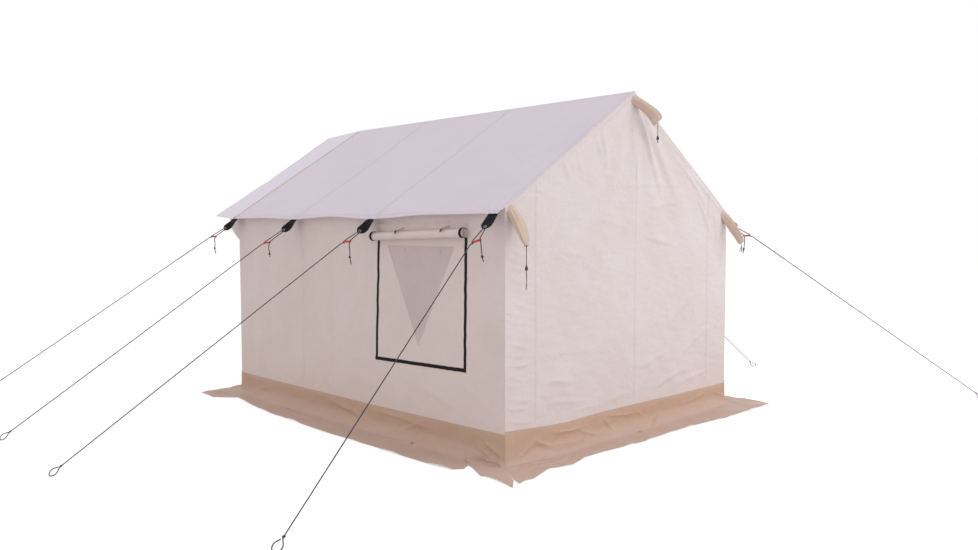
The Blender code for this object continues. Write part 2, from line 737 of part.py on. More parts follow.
def build_window(parent):
    deep = HALF_WIDTH - CANVAS - GAP - MESH_CLOTH / 2
    face = HALF_WIDTH + GAP + TAPE_THICKNESS / 2
    net = stood("window_mesh", [window_outline(MESH_LAP)], MESH_CLOTH, -deep)
    tape = stood("window_tape", [tape_outline()], TAPE_THICKNESS, -face)
    add("window_mesh", net, "window_net", parent)
    add("window_tape", tape, "black_tape", parent)
    roll = plate("storm_flap_roll", [roll_section()], ROLL_LENGTH)
    lying = Matrix.Rotation(math.pi / 2, 4, "X")
    place = (-ROLL_X, ROLL_Y, ROLL_HEIGHT)
    add("storm_flap_roll", moved(roll, lying, "storm_flap_roll"), "wall_canvas", parent, place)

    def flap_point(u, v):
        z = ROLL_HEIGHT + (FLAP_TOP - ROLL_HEIGHT) * v
        return Vector((-FLAP_FACE, ROLL_Y + FLAP_WIDTH * (u - 1 / 2), z))

    flap = cloth("storm_flap_sheet", 6, 2, flap_point, Vector((-CANVAS, 0, 0)))
    add("storm_flap_sheet", flap, "wall_canvas", parent)
    strap = plate("strap", [[(-x, z) for x, z in strap_section()]], STRAP_WIDTH)
    off = ROLL_RADIUS + GAP + TOGGLE_RADIUS
    toggle_x = ROLL_X + off * math.cos(TOGGLE_ANGLE)
    toggle_z = ROLL_HEIGHT + off * math.sin(TOGGLE_ANGLE)
    for key, along in (("rear", -TOGGLE_SPAN / 2), ("front", TOGGLE_SPAN / 2)):
        y = ROLL_Y + TOGGLE_OFFSET + along
        name = "storm_flap_tie_" + key
        tie = add(name, moved(strap, lying, name), "black_tape", parent, (0, y, 0))
        toggle = turned("toggle", toggle_profile(), 8)
        seat = Matrix.Translation((-toggle_x, 0, toggle_z)) @ Matrix.Rotation(TOGGLE_ANGLE, 4, "Y")
        fuse(tie, moved(toggle, seat, "toggle"), "toggle_" + key)


# A hollow straight pole between two points.
def pole(name, start, end, parent):
    data = tube(name, (start, end), POLE_RADIUS, capped=False)
    made = add(name, as_mesh(data, name), "pole_metal", parent)
    wall = made.modifiers.new("wall", "SOLIDIFY")
    wall.thickness = POLE_WALL
    wall.offset = -1
    wall.use_even_offset = True


def rod(start, end, radius, roll=0.0):
    start, end = Vector(start), Vector(end)
    bm = bmesh.new()
    turn = (end - start).to_track_quat("Z", "Y").to_matrix().to_4x4()
    place = Matrix.Translation((start + end) / 2) @ turn @ Matrix.Rotation(roll, 4, "Z")
    bmesh.ops.create_cone(
        bm,
        cap_ends=True,
        segments=10,
        radius1=radius,
        radius2=radius,
        depth=(end - start).length,
        matrix=place,
    )
    return mesh_from(bm, "rod")


def ball(centre):
    bm = bmesh.new()
    bmesh.ops.create_uvsphere(bm, u_segments=10, v_segments=6, radius=FITTING_RADIUS)
    bmesh.ops.translate(bm, verts=bm.verts, vec=centre)
    return mesh_from(bm, "ball")


# One frame across the tent: two legs on foot plates, two rafters, and a welded fitting at
# each joint. An end frame's fittings plug into the poles, the middle one's let them through.
def build_frame_at(name, y, inward, parent):
    ridge = Vector((0, y, RIDGE_POLE_Z))
    along = Vector((0, FITTING_ARM, 0)) * inward
    half = Vector((0, FITTING_LENGTH / 2, 0))
    plug = POLE_RADIUS * EIGHT_SIDED_SHARE - POLE_WALL - GAP
    opening = (POLE_RADIUS + GAP) / TEN_SIDED_SHARE
    joints = [ridge]
    made = None
    for side in (-1, 1):
        eave = Vector((side * POLE_X, y, EAVE_POLE_Z))
        joints.append(eave)
        ground = Vector((side * POLE_X, y, FOOT_THICKNESS / 2))
        if made is None:
            made = add(name, rod(ridge, eave, POLE_RADIUS), "pole_metal", parent)
        else:
            fuse(made, rod(ridge, eave, POLE_RADIUS), name + "_rafter")
        fuse(made, rod(eave, ground, POLE_RADIUS, math.radians(18)), name + "_leg")
        fuse(made, foot(ground, inward), name + "_foot")
    for joint in joints:
        if inward:
            fuse(made, ball(joint), name + "_ball")
            fuse(made, rod(joint, joint + along, plug, math.radians(9)), name + "_plug")
        else:
            fuse(made, rod(joint - half, joint + half, FITTING_RADIUS), name + "_sleeve")
    if not inward:
        for joint in joints:
            bore = rod(joint - 2 * half, joint + 2 * half, opening)
            cut(made, bore, name + "_bore")


def build_frame(parent):
    build_frame_at("rear_frame", -POLE_Y, 1, parent)
    build_frame_at("middle_frame", 0.0, 0, parent)
    build_frame_at("front_frame", POLE_Y, -1, parent)
    reach = POLE_Y - POLE_SETBACK
    for name, x, z in (
        ("ridge_pole", 0.0, RIDGE_POLE_Z),
        ("eave_pole_left", -POLE_X, EAVE_POLE_Z),
        ("eave_pole_right", POLE_X, EAVE_POLE_Z),
    ):
        pole(name, (x, -reach, z), (x, reach, z), parent)


# A foot: a square plate, set in from the walls, under the end of a leg.
def foot(ground, inward):
    step = FOOT_WIDTH / 2 - POLE_RADIUS
    base = bmesh.new()
    bmesh.ops.create_cube(base, size=1)
    bmesh.ops.scale(base, vec=(FOOT_WIDTH, FOOT_WIDTH, FOOT_THICKNESS), verts=base.verts)
    shift = Vector((-math.copysign(step, ground.x), step * inward, 0))
    bmesh.ops.translate(base, verts=base.verts, vec=ground + shift)
    return mesh_from(base, "base")


def sleeve_lines():
    lines = {}
    for key, (x, z, radius) in sleeve_roots().items():
        ridge = key == "ridge"
        length = RIDGE_SLEEVE_LENGTH if ridge else EAVE_SLEEVE_LENGTH
        lines[key] = [
            Vector((x + a * length, -HALF_LENGTH - GAP - b * length, z - c * length))
            for a, b, c in SLEEVE_SHARES[key]
        ]
    return lines


def build_sleeves(parent):
    mouth = (DRAWCORD_RADIUS + GAP + SLEEVE_CLOTH) / EIGHT_SIDED_SHARE
    knot = DRAWCORD_RADIUS * KNOT_SHARE
    for key, line in sleeve_lines().items():
        radius = RIDGE_SLEEVE_RADIUS if key == "ridge" else EAVE_SLEEVE_RADIUS
        shares = list(SLEEVE_WIDTH_SHARES) + [mouth / radius]
        data = tube("pole_sleeve_" + key, line, radius, shares, capped=False)
        made = as_mesh(data, "pole_sleeve_" + key)
        sleeve = add("pole_sleeve_" + key, made, "sleeve_canvas", parent)
        wall = sleeve.modifiers.new("wall", "SOLIDIFY")
        wall.thickness = SLEEVE_CLOTH
        wall.offset = -1
        long = DRAWCORD_LENGTHS[key]
        at_knot = DRAWCORD_KNOT_SHARE * long
        drops = (-DRAWCORD_ENTRY, at_knot - knot, at_knot, at_knot + knot, long)
        points = [line[-1] - Vector((0, 0, drop)) for drop in drops]
        cord = tube("drawcord_" + key, points, DRAWCORD_RADIUS, (1, 1, KNOT_SHARE, 1, 1))
        add("drawcord_" + key, cord, "rope", parent)
        if key in LOCK_PLACES:
            seat = line[-1] - Vector((0, 0, LOCK_PLACES[key]))
            lock = turned("cord_lock_" + key, lock_profile(), 8)
            add("cord_lock_" + key, lock, "black_plastic", parent, seat)


# A cord lock in half section: a barrel with a necked button above it and a bore through.
def lock_profile():
    bore = DRAWCORD_RADIUS + GAP
    high, low = LOCK_LENGTH / 2, -LOCK_LENGTH / 2
    shoulder = high / 3
    return [
        (bore, high),
        (LOCK_NECK, high),
        (LOCK_NECK, shoulder),
        (LOCK_RADIUS, shoulder),
        (LOCK_RADIUS, low),
        (bore, low),
        (bore, high),
    ]


# Where the pad's grommet is along a guy line.
GROMMET_PLACE = PAD_LENGTH - PAD_TIP


def pad_outline():
    half, shoulder = PAD_WIDTH / 2, PAD_SHOULDER_SHARE * PAD_LENGTH
    tip = [
        (PAD_TIP * math.sin(a), GROMMET_PLACE + PAD_TIP * math.cos(a)) for a in PAD_TIP_ANGLES
    ]
    return [(-half, -PAD_ROOT), (half, -PAD_ROOT), (half, shoulder)] + tip + [(-half, shoulder)]


# The frame of one guy line, and that of its pad: the origin at the eave, Z down the rope and
# X along the hem, rolled a little, the pad's twisted a little more. The pad is seated under
# the hem, so both are lowered until no corner of the pad reaches it.
def guy_frames(name):
    side, share, (out, along), dip, twist, distance = GUYS[name]
    seat = Vector((side * EAVE_X, share * ROOM_LENGTH, roof_top(EAVE_X) - CANVAS - dip))
    down = Vector((side * out, along, -seat.z)).normalized()
    hem = Vector((0, -side, 0))
    level = (hem - down * hem.dot(down)).normalized()
    turn = Matrix((level, down.cross(level), down)).transposed().to_4x4()
    frame = Matrix.Translation(seat) @ turn @ Matrix.Rotation(ROPE_ROLL, 4, "Z")
    pad_frame = frame @ Matrix.Rotation(math.radians(twist), 4, "Z")
    drop = 0.0
    for x in (-PAD_WIDTH / 2, PAD_WIDTH / 2):
        for thick in (-PAD_THICKNESS / 2, PAD_THICKNESS / 2):
            root = pad_frame @ Vector((x, thick, -PAD_ROOT))
            outer = pad_frame @ Vector((x, thick, PAD_SHOULDER_SHARE * PAD_LENGTH))
            share = (EAVE_X - abs(root.x)) / (abs(outer.x) - abs(root.x))
            for point in (root, root.lerp(outer, max(share, 0.0))):
                over = min(abs(point.x), EAVE_X)
                pulled = dip * max(over - HALF_WIDTH, 0.0) / EAVE_REACH
                drop = max(drop, point.z + GAP - (roof_top(over) - CANVAS - pulled))
    lowered = Matrix.Translation((0, 0, -drop))
    return lowered @ frame, lowered @ pad_frame


# The standing part of one rope, from the loop at its stake up to its slider. Points are in
# the guy line's frame.
def standing_points(frame, slider_place):
    side = SLIDER_HOLE_PITCH
    across, down = frame.to_3x3().col[0].z, frame.to_3x3().col[2].z
    dip = max(-(side + STAKE_LOOP) * across, (STAKE_LOOP - side) * across)
    end = (frame.translation.z - ROPE_RADIUS - GAP - dip) / -down
    middle = end - STAKE_LOOP
    knot = middle - STAKE_NECK
    bead = ROPE_RADIUS * KNOT_SHARE
    points = [(side + bead, 0, knot + 2 * bead)]
    for angle in STAKE_LOOP_ANGLES:
        x = side + STAKE_LOOP * math.sin(angle)
        points.append((x, 0, middle + STAKE_LOOP * math.cos(angle)))
    points += [(side, 0, knot + bead), (side, 0, knot), (side, 0, knot - bead)]
    points.append((side, 0, slider_place + SLIDER_THICKNESS))
    shares = [1.0] * len(points)
    shares[-3] = KNOT_SHARE
    return [Vector(point) for point in points], shares


# The rest of the rope: up one face of the pad, through its grommet, back down the other face,
# through the slider's other end and down its hanging tail.
def doubled_points(frame, slider_place):
    bead = ROPE_RADIUS * KNOT_SHARE
    side = SLIDER_HOLE_PITCH
    points = [Vector((side, 0, slider_place - SLIDER_THICKNESS))]
    for step in range(ROPE_BEND_STEPS + 1):
        angle = math.pi * (step / ROPE_BEND_STEPS - 1 / 2)
        z = GROMMET_PLACE + ROPE_SEAT + ROPE_BEND * (1 - math.cos(angle))
        points.append(Vector((0, ROPE_BEND * math.sin(angle), z)))
    points.append(Vector((-side, 0, slider_place - SLIDER_THICKNESS)))
    points.append(Vector((-side, 0, slider_place + SLIDER_THICKNESS)))
    out = Vector((0, 0, 1))
    down = frame.to_3x3().inverted() @ Vector((0, 0, -1))
    first = (out + down).normalized()
    points.append(points[-1] + (out + first) * TAIL_BEND / 2)
    base = points[-1] + (first + down) * TAIL_BEND / 2
    straight = TAIL_LENGTH - 2 * TAIL_BEND
    knot = TAIL_KNOT_SHARE * straight
    points += [base + down * drop for drop in (0, knot - bead, knot, knot + bead, straight)]
    shares = [1.0] * len(points)
    shares[-3] = KNOT_SHARE
    return points, shares


def slider_outlines():
    half = SLIDER_WIDTH / 2
    reach = SLIDER_HOLE_PITCH
    right = [(reach + half * math.cos(a), half * math.sin(a)) for a in half_turn(-math.pi / 2)]
    left = [(half * math.cos(a) - reach, half * math.sin(a)) for a in half_turn(math.pi / 2)]
    bore = ROPE_RADIUS + SLIDER_CLEARANCE
    holes = [circle(bore, 8, x, 0.0, math.pi / 8) for x in (-reach, 0.0, reach)]
    return [right + left] + holes


def half_turn(start):
    return [start + math.pi * step / 4 for step in range(5)]


def build_guys(parent):
    pad_turn = Matrix.Rotation(math.pi / 2, 4, "X")
    hole = circle(GROMMET_RADIUS, 8, 0.0, GROMMET_PLACE)
    pad = moved(plate("pad", [pad_outline(), hole], PAD_THICKNESS), pad_turn, "pad")
    bpy.ops.mesh.primitive_torus_add(
        major_segments=12, minor_segments=6, major_radius=GROMMET_RADIUS, minor_radius=GROMMET_WIRE
    )
    torus = bpy.context.object
    seated = Matrix.Translation((0, 0, GROMMET_PLACE)) @ pad_turn
    wire = moved(torus.data, seated, "grommet")
    bpy.data.objects.remove(torus, do_unlink=True)
    bar = plate("guy_slider", slider_outlines(), SLIDER_THICKNESS)
    for name in GUYS:
        frame, pad_frame = guy_frames(name)
        slider_place = GROMMET_PLACE + GUYS[name][-1]
        tab = add("guy_pad_" + name, pad.copy(), "black_tape", parent)
        tab.matrix_local = pad_frame
        fuse(tab, wire.copy(), "guy_grommet_" + name)
        tab.modifiers[0].object.matrix_local = pad_frame
        points, shares = standing_points(frame, slider_place)
        more, more_shares = doubled_points(frame, slider_place)
        rope = tube("guy_line_" + name, points + more, ROPE_RADIUS, shares + more_shares)
        line = add("guy_line_" + name, rope, "rope", parent)
        line.matrix_local = frame
        red = add("guy_slider_" + name, bar.copy(), "red_plastic", parent)
        red.matrix_local = frame @ Matrix.Translation((0, 0, slider_place))


def build_tent():
    clear_scene()
    new_collection("parts", "wall_tent")
    new_collection("cutters", "wall_tent_cutters")
    make_finishes()
    tent = bpy.data.objects.new("wall_tent", None)
    tent.location = (0, ROOM_CENTRE_Y, 0)
    collections["parts"].objects.link(tent)
    build_frame(tent)
    build_roof(tent)
    build_gussets(tent)
    build_side_walls(tent)
    build_gables(tent)
    build_door(tent)
    build_skirt(tent)
    build_window(tent)
    build_sleeves(tent)
    build_guys(tent)
    bpy.context.view_layer.update()


build_tent()
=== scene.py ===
import math

import bmesh
import bpy
import numpy as np
from mathutils import Matrix, Vector


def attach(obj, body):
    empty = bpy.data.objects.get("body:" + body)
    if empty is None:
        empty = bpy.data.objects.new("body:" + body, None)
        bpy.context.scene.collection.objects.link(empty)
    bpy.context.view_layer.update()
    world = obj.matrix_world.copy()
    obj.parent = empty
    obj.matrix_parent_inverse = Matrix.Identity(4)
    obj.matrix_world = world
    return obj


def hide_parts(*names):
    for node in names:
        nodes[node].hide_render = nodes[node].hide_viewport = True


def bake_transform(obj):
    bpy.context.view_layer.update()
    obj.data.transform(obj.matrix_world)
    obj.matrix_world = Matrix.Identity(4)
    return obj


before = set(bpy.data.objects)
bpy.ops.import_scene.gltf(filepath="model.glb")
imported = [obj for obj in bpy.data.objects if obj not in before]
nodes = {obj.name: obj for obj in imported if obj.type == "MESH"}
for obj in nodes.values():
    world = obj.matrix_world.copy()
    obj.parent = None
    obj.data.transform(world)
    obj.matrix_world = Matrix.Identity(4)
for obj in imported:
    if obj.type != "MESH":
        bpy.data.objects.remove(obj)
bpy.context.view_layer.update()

tent = {
    "roomWidth": 2.44,
    "roomLength": 3.05,
    "wallHeight": 1.48,
    "ridgeHeight": 2.26,
    "eaveReach": 0.06,
    "centreY": -0.1355,
    "canvas": 0.002,
    "gap": 0.0003,
}
halfWidth, halfLength = tent["roomWidth"] / 2, tent["roomLength"] / 2
eaveX = halfWidth + tent["eaveReach"]
slope = (tent["ridgeHeight"] - tent["wallHeight"]) / halfWidth
roofCos, roofSin = math.cos(math.atan(slope)), math.sin(math.atan(slope))
canvas, gap, centreY = tent["canvas"], tent["gap"], tent["centreY"]
wallTop = tent["wallHeight"] - canvas - gap


# small sums used all over
def ease(share):
    share = np.clip(share, 0.0, 1.0)
    return share * share * (3 - 2 * share)


def swell(share):
    return np.sin(np.pi * np.clip(share, 0.0, 1.0)) ** 2


def roofTop(x):
    return tent["ridgeHeight"] - slope * np.abs(x)


def grid(rows, columns):
    return np.meshgrid(rows, columns, indexing="ij")


def stacked(*parts):
    return np.stack(np.broadcast_arrays(*parts), axis=-1)


def asGrids(*parts):
    return np.broadcast_arrays(*(np.asarray(part, float) for part in parts))


def unit(vector):
    return vector / np.linalg.norm(vector)


# Soft uneven ripples: a few seeded waves whose crests run roughly along one direction.
def ripple(u, v, seed, count, short, long, heading, spread):
    draw = np.random.default_rng(seed)
    total = np.zeros(np.broadcast(u, v).shape)
    for _ in range(count):
        angle = heading + draw.normal(0.0, spread)
        size = draw.uniform(short, long)
        phase = draw.uniform(0, 2 * math.pi)
        across = u * math.cos(angle) + v * math.sin(angle)
        total = total + np.sin(2 * math.pi * across / size + phase)
    return total / count


# One crease from a to b: its crest bends by bow, one flank is steeper, and it fades at its ends.
def crease(u, v, row, steep=0.55, fade=0.08):
    a, b = np.array(row[:2], float), np.array(row[2:4], float)
    width, height, bow = row[4:]
    long = float(np.linalg.norm(b - a))
    along = (b - a) / long
    share = ((u - a[0]) * along[0] + (v - a[1]) * along[1]) / long
    across = (v - a[1]) * along[0] - (u - a[0]) * along[1]
    across = across - bow * np.sin(np.pi * np.clip(share, 0, 1))
    flank = np.where(across > 0, width, steep * width)
    ends = swell((share + fade) / (1 + 2 * fade)) ** 0.6
    inside = (share > -fade) & (share < 1 + fade)
    return height * np.exp(-((across / flank) ** 2)) * np.where(inside, ends, 0)


def creased(u, v, rows):
    total = np.zeros(np.broadcast(u, v).shape)
    for row in rows:
        total = total + crease(u, v, row)
    return total


# Even lines with closer ones at each seam, so that its folded edges show.
def gridLines(low, high, step, seams=(), half=0.007, clear=0.004, edge=0.0015):
    lines = np.linspace(low, high, max(2, round((high - low) / step)) + 1)
    for seam in seams:
        lines = lines[np.abs(lines - seam) > half + clear]
        lines = np.append(lines, [seam + shift for shift in (-half - edge, -half, 0, half, half + edge)])
    lines = lines[(lines >= low) & (lines <= high)]
    return np.unique(np.concatenate([[low, high], lines]).round(6))


# meshes and objects
def newObject(name, data):
    item = bpy.data.objects.new(name, data)
    bpy.context.scene.collection.objects.link(item)
    return item


def newMesh(name, points, faces=(), edges=()):
    mesh = bpy.data.meshes.new(name)
    mesh.from_pydata(np.asarray(points, float).reshape(-1, 3).tolist(), list(edges), list(faces))
    return mesh


# What an object's modifiers or curve make of it, as a mesh; the object goes.
def evaluated(holder):
    bpy.context.view_layer.update()
    mesh = bpy.data.meshes.new_from_object(holder.evaluated_get(bpy.context.evaluated_depsgraph_get()))
    bpy.data.objects.remove(holder)
    return mesh


# The cloth's own map: a place on it in metres for every point.
def setFlat(mesh, flat):
    layer = mesh.uv_layers.new(name="cloth")
    corner = np.zeros(len(mesh.loops), np.int32)
    mesh.loops.foreach_get("vertex_index", corner)
    layer.data.foreach_set("uv", np.asarray(flat, np.float32)[corner].ravel())


def smoothed(mesh, angle=40):
    mesh.shade_smooth()
    mesh.set_sharp_from_angle(angle=math.radians(angle))
    return mesh


# Doubles merged, moved by the matrix and faces turned outward, each where it is asked for.
def reworked(mesh, merge=1e-5, matrix=None, angle=40):
    made = bmesh.new()
    made.from_mesh(mesh)
    if merge:
        bmesh.ops.remove_doubles(made, verts=made.verts, dist=merge)
    if matrix is not None:
        bmesh.ops.transform(made, matrix=matrix, verts=made.verts)
    bmesh.ops.recalc_face_normals(made, faces=made.faces)
    made.to_mesh(mesh)
    made.free()
    return smoothed(mesh, angle)


def turnedOut(mesh):
    return reworked(mesh, None, None, 50)


def joined(name, meshes):
    made = bmesh.new()
    for mesh in meshes:
        made.from_mesh(mesh)
    whole = bpy.data.meshes.new(name)
    made.to_mesh(whole)
    made.free()
    return smoothed(whole)


def quads(index):
    return np.stack([index[:-1, :-1], index[1:, :-1], index[1:, 1:], index[:-1, 1:]], axis=-1).reshape(-1, 4)


# Faces between rings of points, each ring closed, and the last joined to the first when asked.
def ringQuads(index, closed=False):
    index = np.hstack([index, index[:, :1]])
    if closed:
        index = np.vstack([index, index[:1]])
    return quads(index)[:, [0, 3, 2, 1]]


# A closed sheet of cloth: its outer face is the grid of points, and it is as thick as said.
def sheetMesh(name, points, flat, outward, thick):
    rows, columns = points.shape[:2]
    normals = np.cross(np.gradient(points, axis=0), np.gradient(points, axis=1))
    normals /= np.maximum(np.linalg.norm(normals, axis=2, keepdims=True), 1e-12)
    flip = (normals * np.asarray(outward, float)).sum() < 0
    back = points + normals * thick * (1 if flip else -1)
    count = rows * columns
    index = np.arange(count).reshape(rows, columns)
    faces = quads(index)
    rim = np.concatenate([index[:, 0], index[-1, 1:], index[:-1, -1][::-1], index[0, 1:-1][::-1]])
    after = np.roll(rim, -1)
    edge = np.stack([after, rim, rim + count, after + count], axis=-1)
    every = np.concatenate([faces, faces[:, ::-1] + count, edge])
    if flip:
        every = every[:, ::-1]
    mesh = newMesh(name, [points, back], every.tolist())
    setFlat(mesh, np.concatenate([flat.reshape(-1, 2), flat.reshape(-1, 2)]))
    return smoothed(mesh)


# A tube whose rings are carried along the path without twist.
def tubeMesh(name, path, radius, sides=8, closed=False):
    path = np.asarray(path, float)
    tangent = np.gradient(path, axis=0)
    tangent /= np.linalg.norm(tangent, axis=1, keepdims=True)
    across = np.cross([0.0, 0.0, 1.0] if abs(tangent[0][2]) < 0.9 else [1.0, 0.0, 0.0], tangent[0])
    angles = 2 * np.pi * np.arange(sides) / sides
    cosines, sines = np.cos(angles)[:, None], np.sin(angles)[:, None]
    rings = []
    for place, direction in zip(path, tangent, strict=True):
        across = unit(across - direction * (across @ direction))
        rings.append(place + radius * (cosines * across + sines * np.cross(direction, across)))
    index = np.arange(len(path) * sides).reshape(len(path), sides)
    faces = ringQuads(index, closed).tolist()
    if not closed:
        faces += [index[0][::-1].tolist(), index[-1].tolist()]
    mesh = newMesh(name, rings, faces)
    long = np.concatenate([[0], np.cumsum(np.linalg.norm(np.diff(path, axis=0), axis=1))])
    setFlat(mesh, stacked(np.repeat(long, sides), np.tile(np.arange(sides) / sides, len(path))))
    return smoothed(mesh, 60)


# A smooth line through a few points, count points long.
def smoothLine(points, count):
    points = np.asarray(points, float)
    padded = np.concatenate([[2 * points[0] - points[1]], points, [2 * points[-1] - points[-2]]])
    line = []
    for place in np.linspace(0, len(points) - 1 - 1e-9, count):
        step = int(place)
        t = place - step
        a, b, c, d = padded[step : step + 4]
        bend = (2 * a - 5 * b + 4 * c - d) * t * t + (3 * b - a - 3 * c + d) * t**3
        line.append(0.5 * (2 * b + (c - a) * t + bend))
    return np.array(line)


def latheMesh(name, profile, steps, matrix):
    angles = 2 * np.pi * np.arange(steps) / steps
    rings = [[(r * math.cos(a), r * math.sin(a), z) for a in angles] for r, z in profile]
    faces = ringQuads(np.arange(len(profile) * steps).reshape(len(profile), steps))
    return reworked(newMesh(name, rings, faces.tolist()), 1e-6, matrix, 35)


# A flat plate from closed outlines in XY, half its thickness each way, with softened edges.
def plateMesh(name, outlines, thick, soften):
    shape = bpy.data.curves.new(name, "CURVE")
    shape.dimensions = "2D"
    shape.fill_mode = "BOTH"
    shape.extrude = thick / 2 - soften
    shape.bevel_depth = soften
    shape.offset = -soften
    shape.bevel_resolution = 1
    for outline in outlines:
        spline = shape.splines.new("POLY")
        spline.points.add(len(outline) - 1)
        for point, (x, y) in zip(spline.points, outline, strict=True):
            point.co = (x, y, 0, 1)
        spline.use_cyclic_u = True
    return reworked(evaluated(newObject(name, shape)))


# Cuts a prism out of a sheet: its outline is in the plane across the axis.
def cutOut(mesh, outline, axis, middle, reach=0.1):
    ends = (middle - reach, middle + reach)
    if axis == "x":
        points = [(depth, *place) for depth in ends for place in outline]
    else:
        points = [(place[0], depth, place[1]) for depth in ends for place in outline]
    count = len(outline)
    faces = [list(range(count)), list(range(2 * count - 1, count - 1, -1))]
    faces += [[(i + 1) % count, i, i + count, (i + 1) % count + count] for i in range(count)]
    cutter = newObject("cutter", reworked(newMesh("cutter", points, faces)))
    piece = newObject("cutPiece", mesh)
    step = piece.modifiers.new("cut", "BOOLEAN")
    step.operation, step.solver, step.object = "DIFFERENCE", "MANIFOLD", cutter
    result = evaluated(piece)
    bpy.data.objects.remove(cutter)
    return smoothed(result)


def addPiece(name, mesh, finish, stands=None, body="tent"):
    mesh.transform(Matrix.Translation((0, centreY, 0)))
    piece = newObject(name, mesh)
    mesh.materials.clear()
    mesh.materials.append(finishes[finish])
    if body:
        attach(piece, body)
    if stands:
        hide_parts(stands)
    return piece


def addSheet(name, mesh, finish, stands=None, body="tent"):
    piece = addPiece(name, mesh, finish, stands, body)


def declareCord(line):
    path = [(x, y + centreY, z) for x, y, z in line]


# node trees
def put(tree, kind, links=None, **settings):
    node = tree.nodes.new(kind)
    for key, value in settings.items():
        setattr(node, key, value)
    for socket, source in (links or {}).items():
        source = source.socket if isinstance(source, Term) else source
        if isinstance(source, bpy.types.NodeSocket):
            tree.links.new(source, node.inputs[socket])
        else:
            node.inputs[socket].default_value = source
    return node


# A socket that takes part in sums: each sum puts one Math node in its tree.
class Term:
    def __init__(self, tree, socket):
        self.tree, self.socket = tree, socket

    def __add__(self, other):
        return reckon("ADD", self, other)

    def __sub__(self, other):
        return reckon("SUBTRACT", self, other)

    def __rsub__(self, other):
        return reckon("SUBTRACT", other, self)

    def __mul__(self, other):
        return reckon("MULTIPLY", self, other)

    def __truediv__(self, other):
        return reckon("DIVIDE", self, other)

    def clamped(self):
        self.socket.node.use_clamp = True
        return self

    def split(self):
        parts = put(self.tree, "ShaderNodeSeparateXYZ", {0: self})
        return [Term(self.tree, part) for part in parts.outputs]

    def stretched(self, *scale):
        mapping = put(self.tree, "ShaderNodeMapping", {"Vector": self, "Scale": scale})
        return Term(self.tree, mapping.outputs[0])

    def noise(self, scale, detail=3.0, rough=0.5, distortion=0.0):
        links = {"Vector": self, "Scale": scale, "Detail": detail, "Roughness": rough}
        noise = put(self.tree, "ShaderNodeTexNoise", {**links, "Distortion": distortion})
        return Term(self.tree, noise.outputs["Fac"])

    def wave(self, perMetre):
        return reckon("SINE", self * perMetre * (2 * math.pi))


def reckon(operation, first, second=0.0):
    tree = first.tree if isinstance(first, Term) else second.tree
    return Term(tree, put(tree, "ShaderNodeMath", {0: first, 1: second}, operation=operation).outputs[0])


# A group's tree: its named inputs with their values, its outputs and its own two nodes.
def newTree(name, kind, inputs, outputs):
    tree = bpy.data.node_groups.new(name, kind)
    for label, (socketKind, value) in inputs.items():
        socket = tree.interface.new_socket(label, in_out="INPUT", socket_type="NodeSocket" + socketKind)
        if value is not None:
            socket.default_value = value
    for label, socketKind in outputs.items():
        tree.interface.new_socket(label, in_out="OUTPUT", socket_type="NodeSocket" + socketKind)
    return tree, tree.nodes.new("NodeGroupInput"), tree.nodes.new("NodeGroupOutput")


# Weave, slubs in the yarn and fine handling creases of a cloth, measured in metres on it.
def clothRule(given):
    place = given["Place"]
    x, y, _ = place.split()
    weave = x.wave(given["Threads"]) * y.wave(given["Threads"]) * given["WeaveDepth"]
    upright = place.stretched(420.0, 9.0, 1.0).noise(1.0, 2.0)
    level = place.stretched(9.0, 420.0, 1.0).noise(1.0, 2.0)
    slub = (upright + level - 1.0) * given["SlubAmount"]
    broad = place.stretched(1.0, 1.6, 1.0).noise(given["CreaseScale"], 4.0, 0.55, 0.6)
    ridge = 1.0 - (reckon("ABSOLUTE", broad - 0.5) * 9.0).clamped()
    ridge = reckon("POWER", ridge, 2.0) * 0.35
    tone = place.noise(1.7, 4.0, 0.6, 0.3) * 0.8 + slub + ridge * 0.25
    return {"Height": weave + (broad + ridge) * given["CreaseDepth"], "Tone": tone.clamped()}


def objectPlace(tree):
    return Term(tree, put(tree, "ShaderNodeTexCoord").outputs["Object"])


# Dust and damp that rise from the ground, uneven at their upper edge.
def groundRule(given):
    place = objectPlace(given["Rise"].tree)
    low = (1.0 - place.split()[2] / given["Rise"]).clamped()
    patch = place.stretched(5.0, 5.0, 9.0).noise(1.0, 4.0, 0.6)
    return {"Mask": (low * patch * 2.0 * given["Amount"]).clamped()}


# The ribs of webbing or hook tape along the cloth's own map.
def webbingRule(given):
    x, y, _ = given["Place"].split()
    ribs = (x + y * 0.5).wave(given["Ribs"]) * (y - x * 0.5).wave(given["Ribs"])
    fuzz = given["Place"].noise(260.0, 3.0, 0.6)
    worn = given["Place"].noise(35.0, 4.0, 0.6)
    return {"Height": (ribs * 0.5 + fuzz) * given["Depth"], "Tone": (fuzz * 0.5 + worn * 0.5).clamped()}


# Diamond braid of a cord: the map runs along it in metres and once round it.
def braidRule(given):
    x, y, _ = given["Place"].split()
    along, around = x * given["Plaits"], y * given["Strands"]
    plait = reckon("MAXIMUM", (along + around).wave(1.0), (along - around).wave(1.0))
    dust = given["Place"].noise(40.0, 3.0, 0.6)
    return {"Height": plait * given["Depth"], "Tone": (plait * 0.35 + dust * 0.5).clamped()}


# Handling marks on plastic and metal: fine streaks and dull patches.
def scuffRule(given):
    tree = given["Stretch"].tree
    place = objectPlace(tree)
    mapped = put(tree, "ShaderNodeVectorMath", {0: place, 1: given["Stretch"]}, operation="MULTIPLY")
    fine = Term(tree, mapped.outputs[0]).noise(given["Scale"], 5.0, 0.65, 0.2)
    patch = place.noise(14.0, 3.0, 0.5)
    return {
        "Height": fine * given["Depth"], "Tone": (fine * 0.5 + patch * 0.5).clamped(),
        "Rough": (fine * 0.4 + 0.22).clamped(),
    }


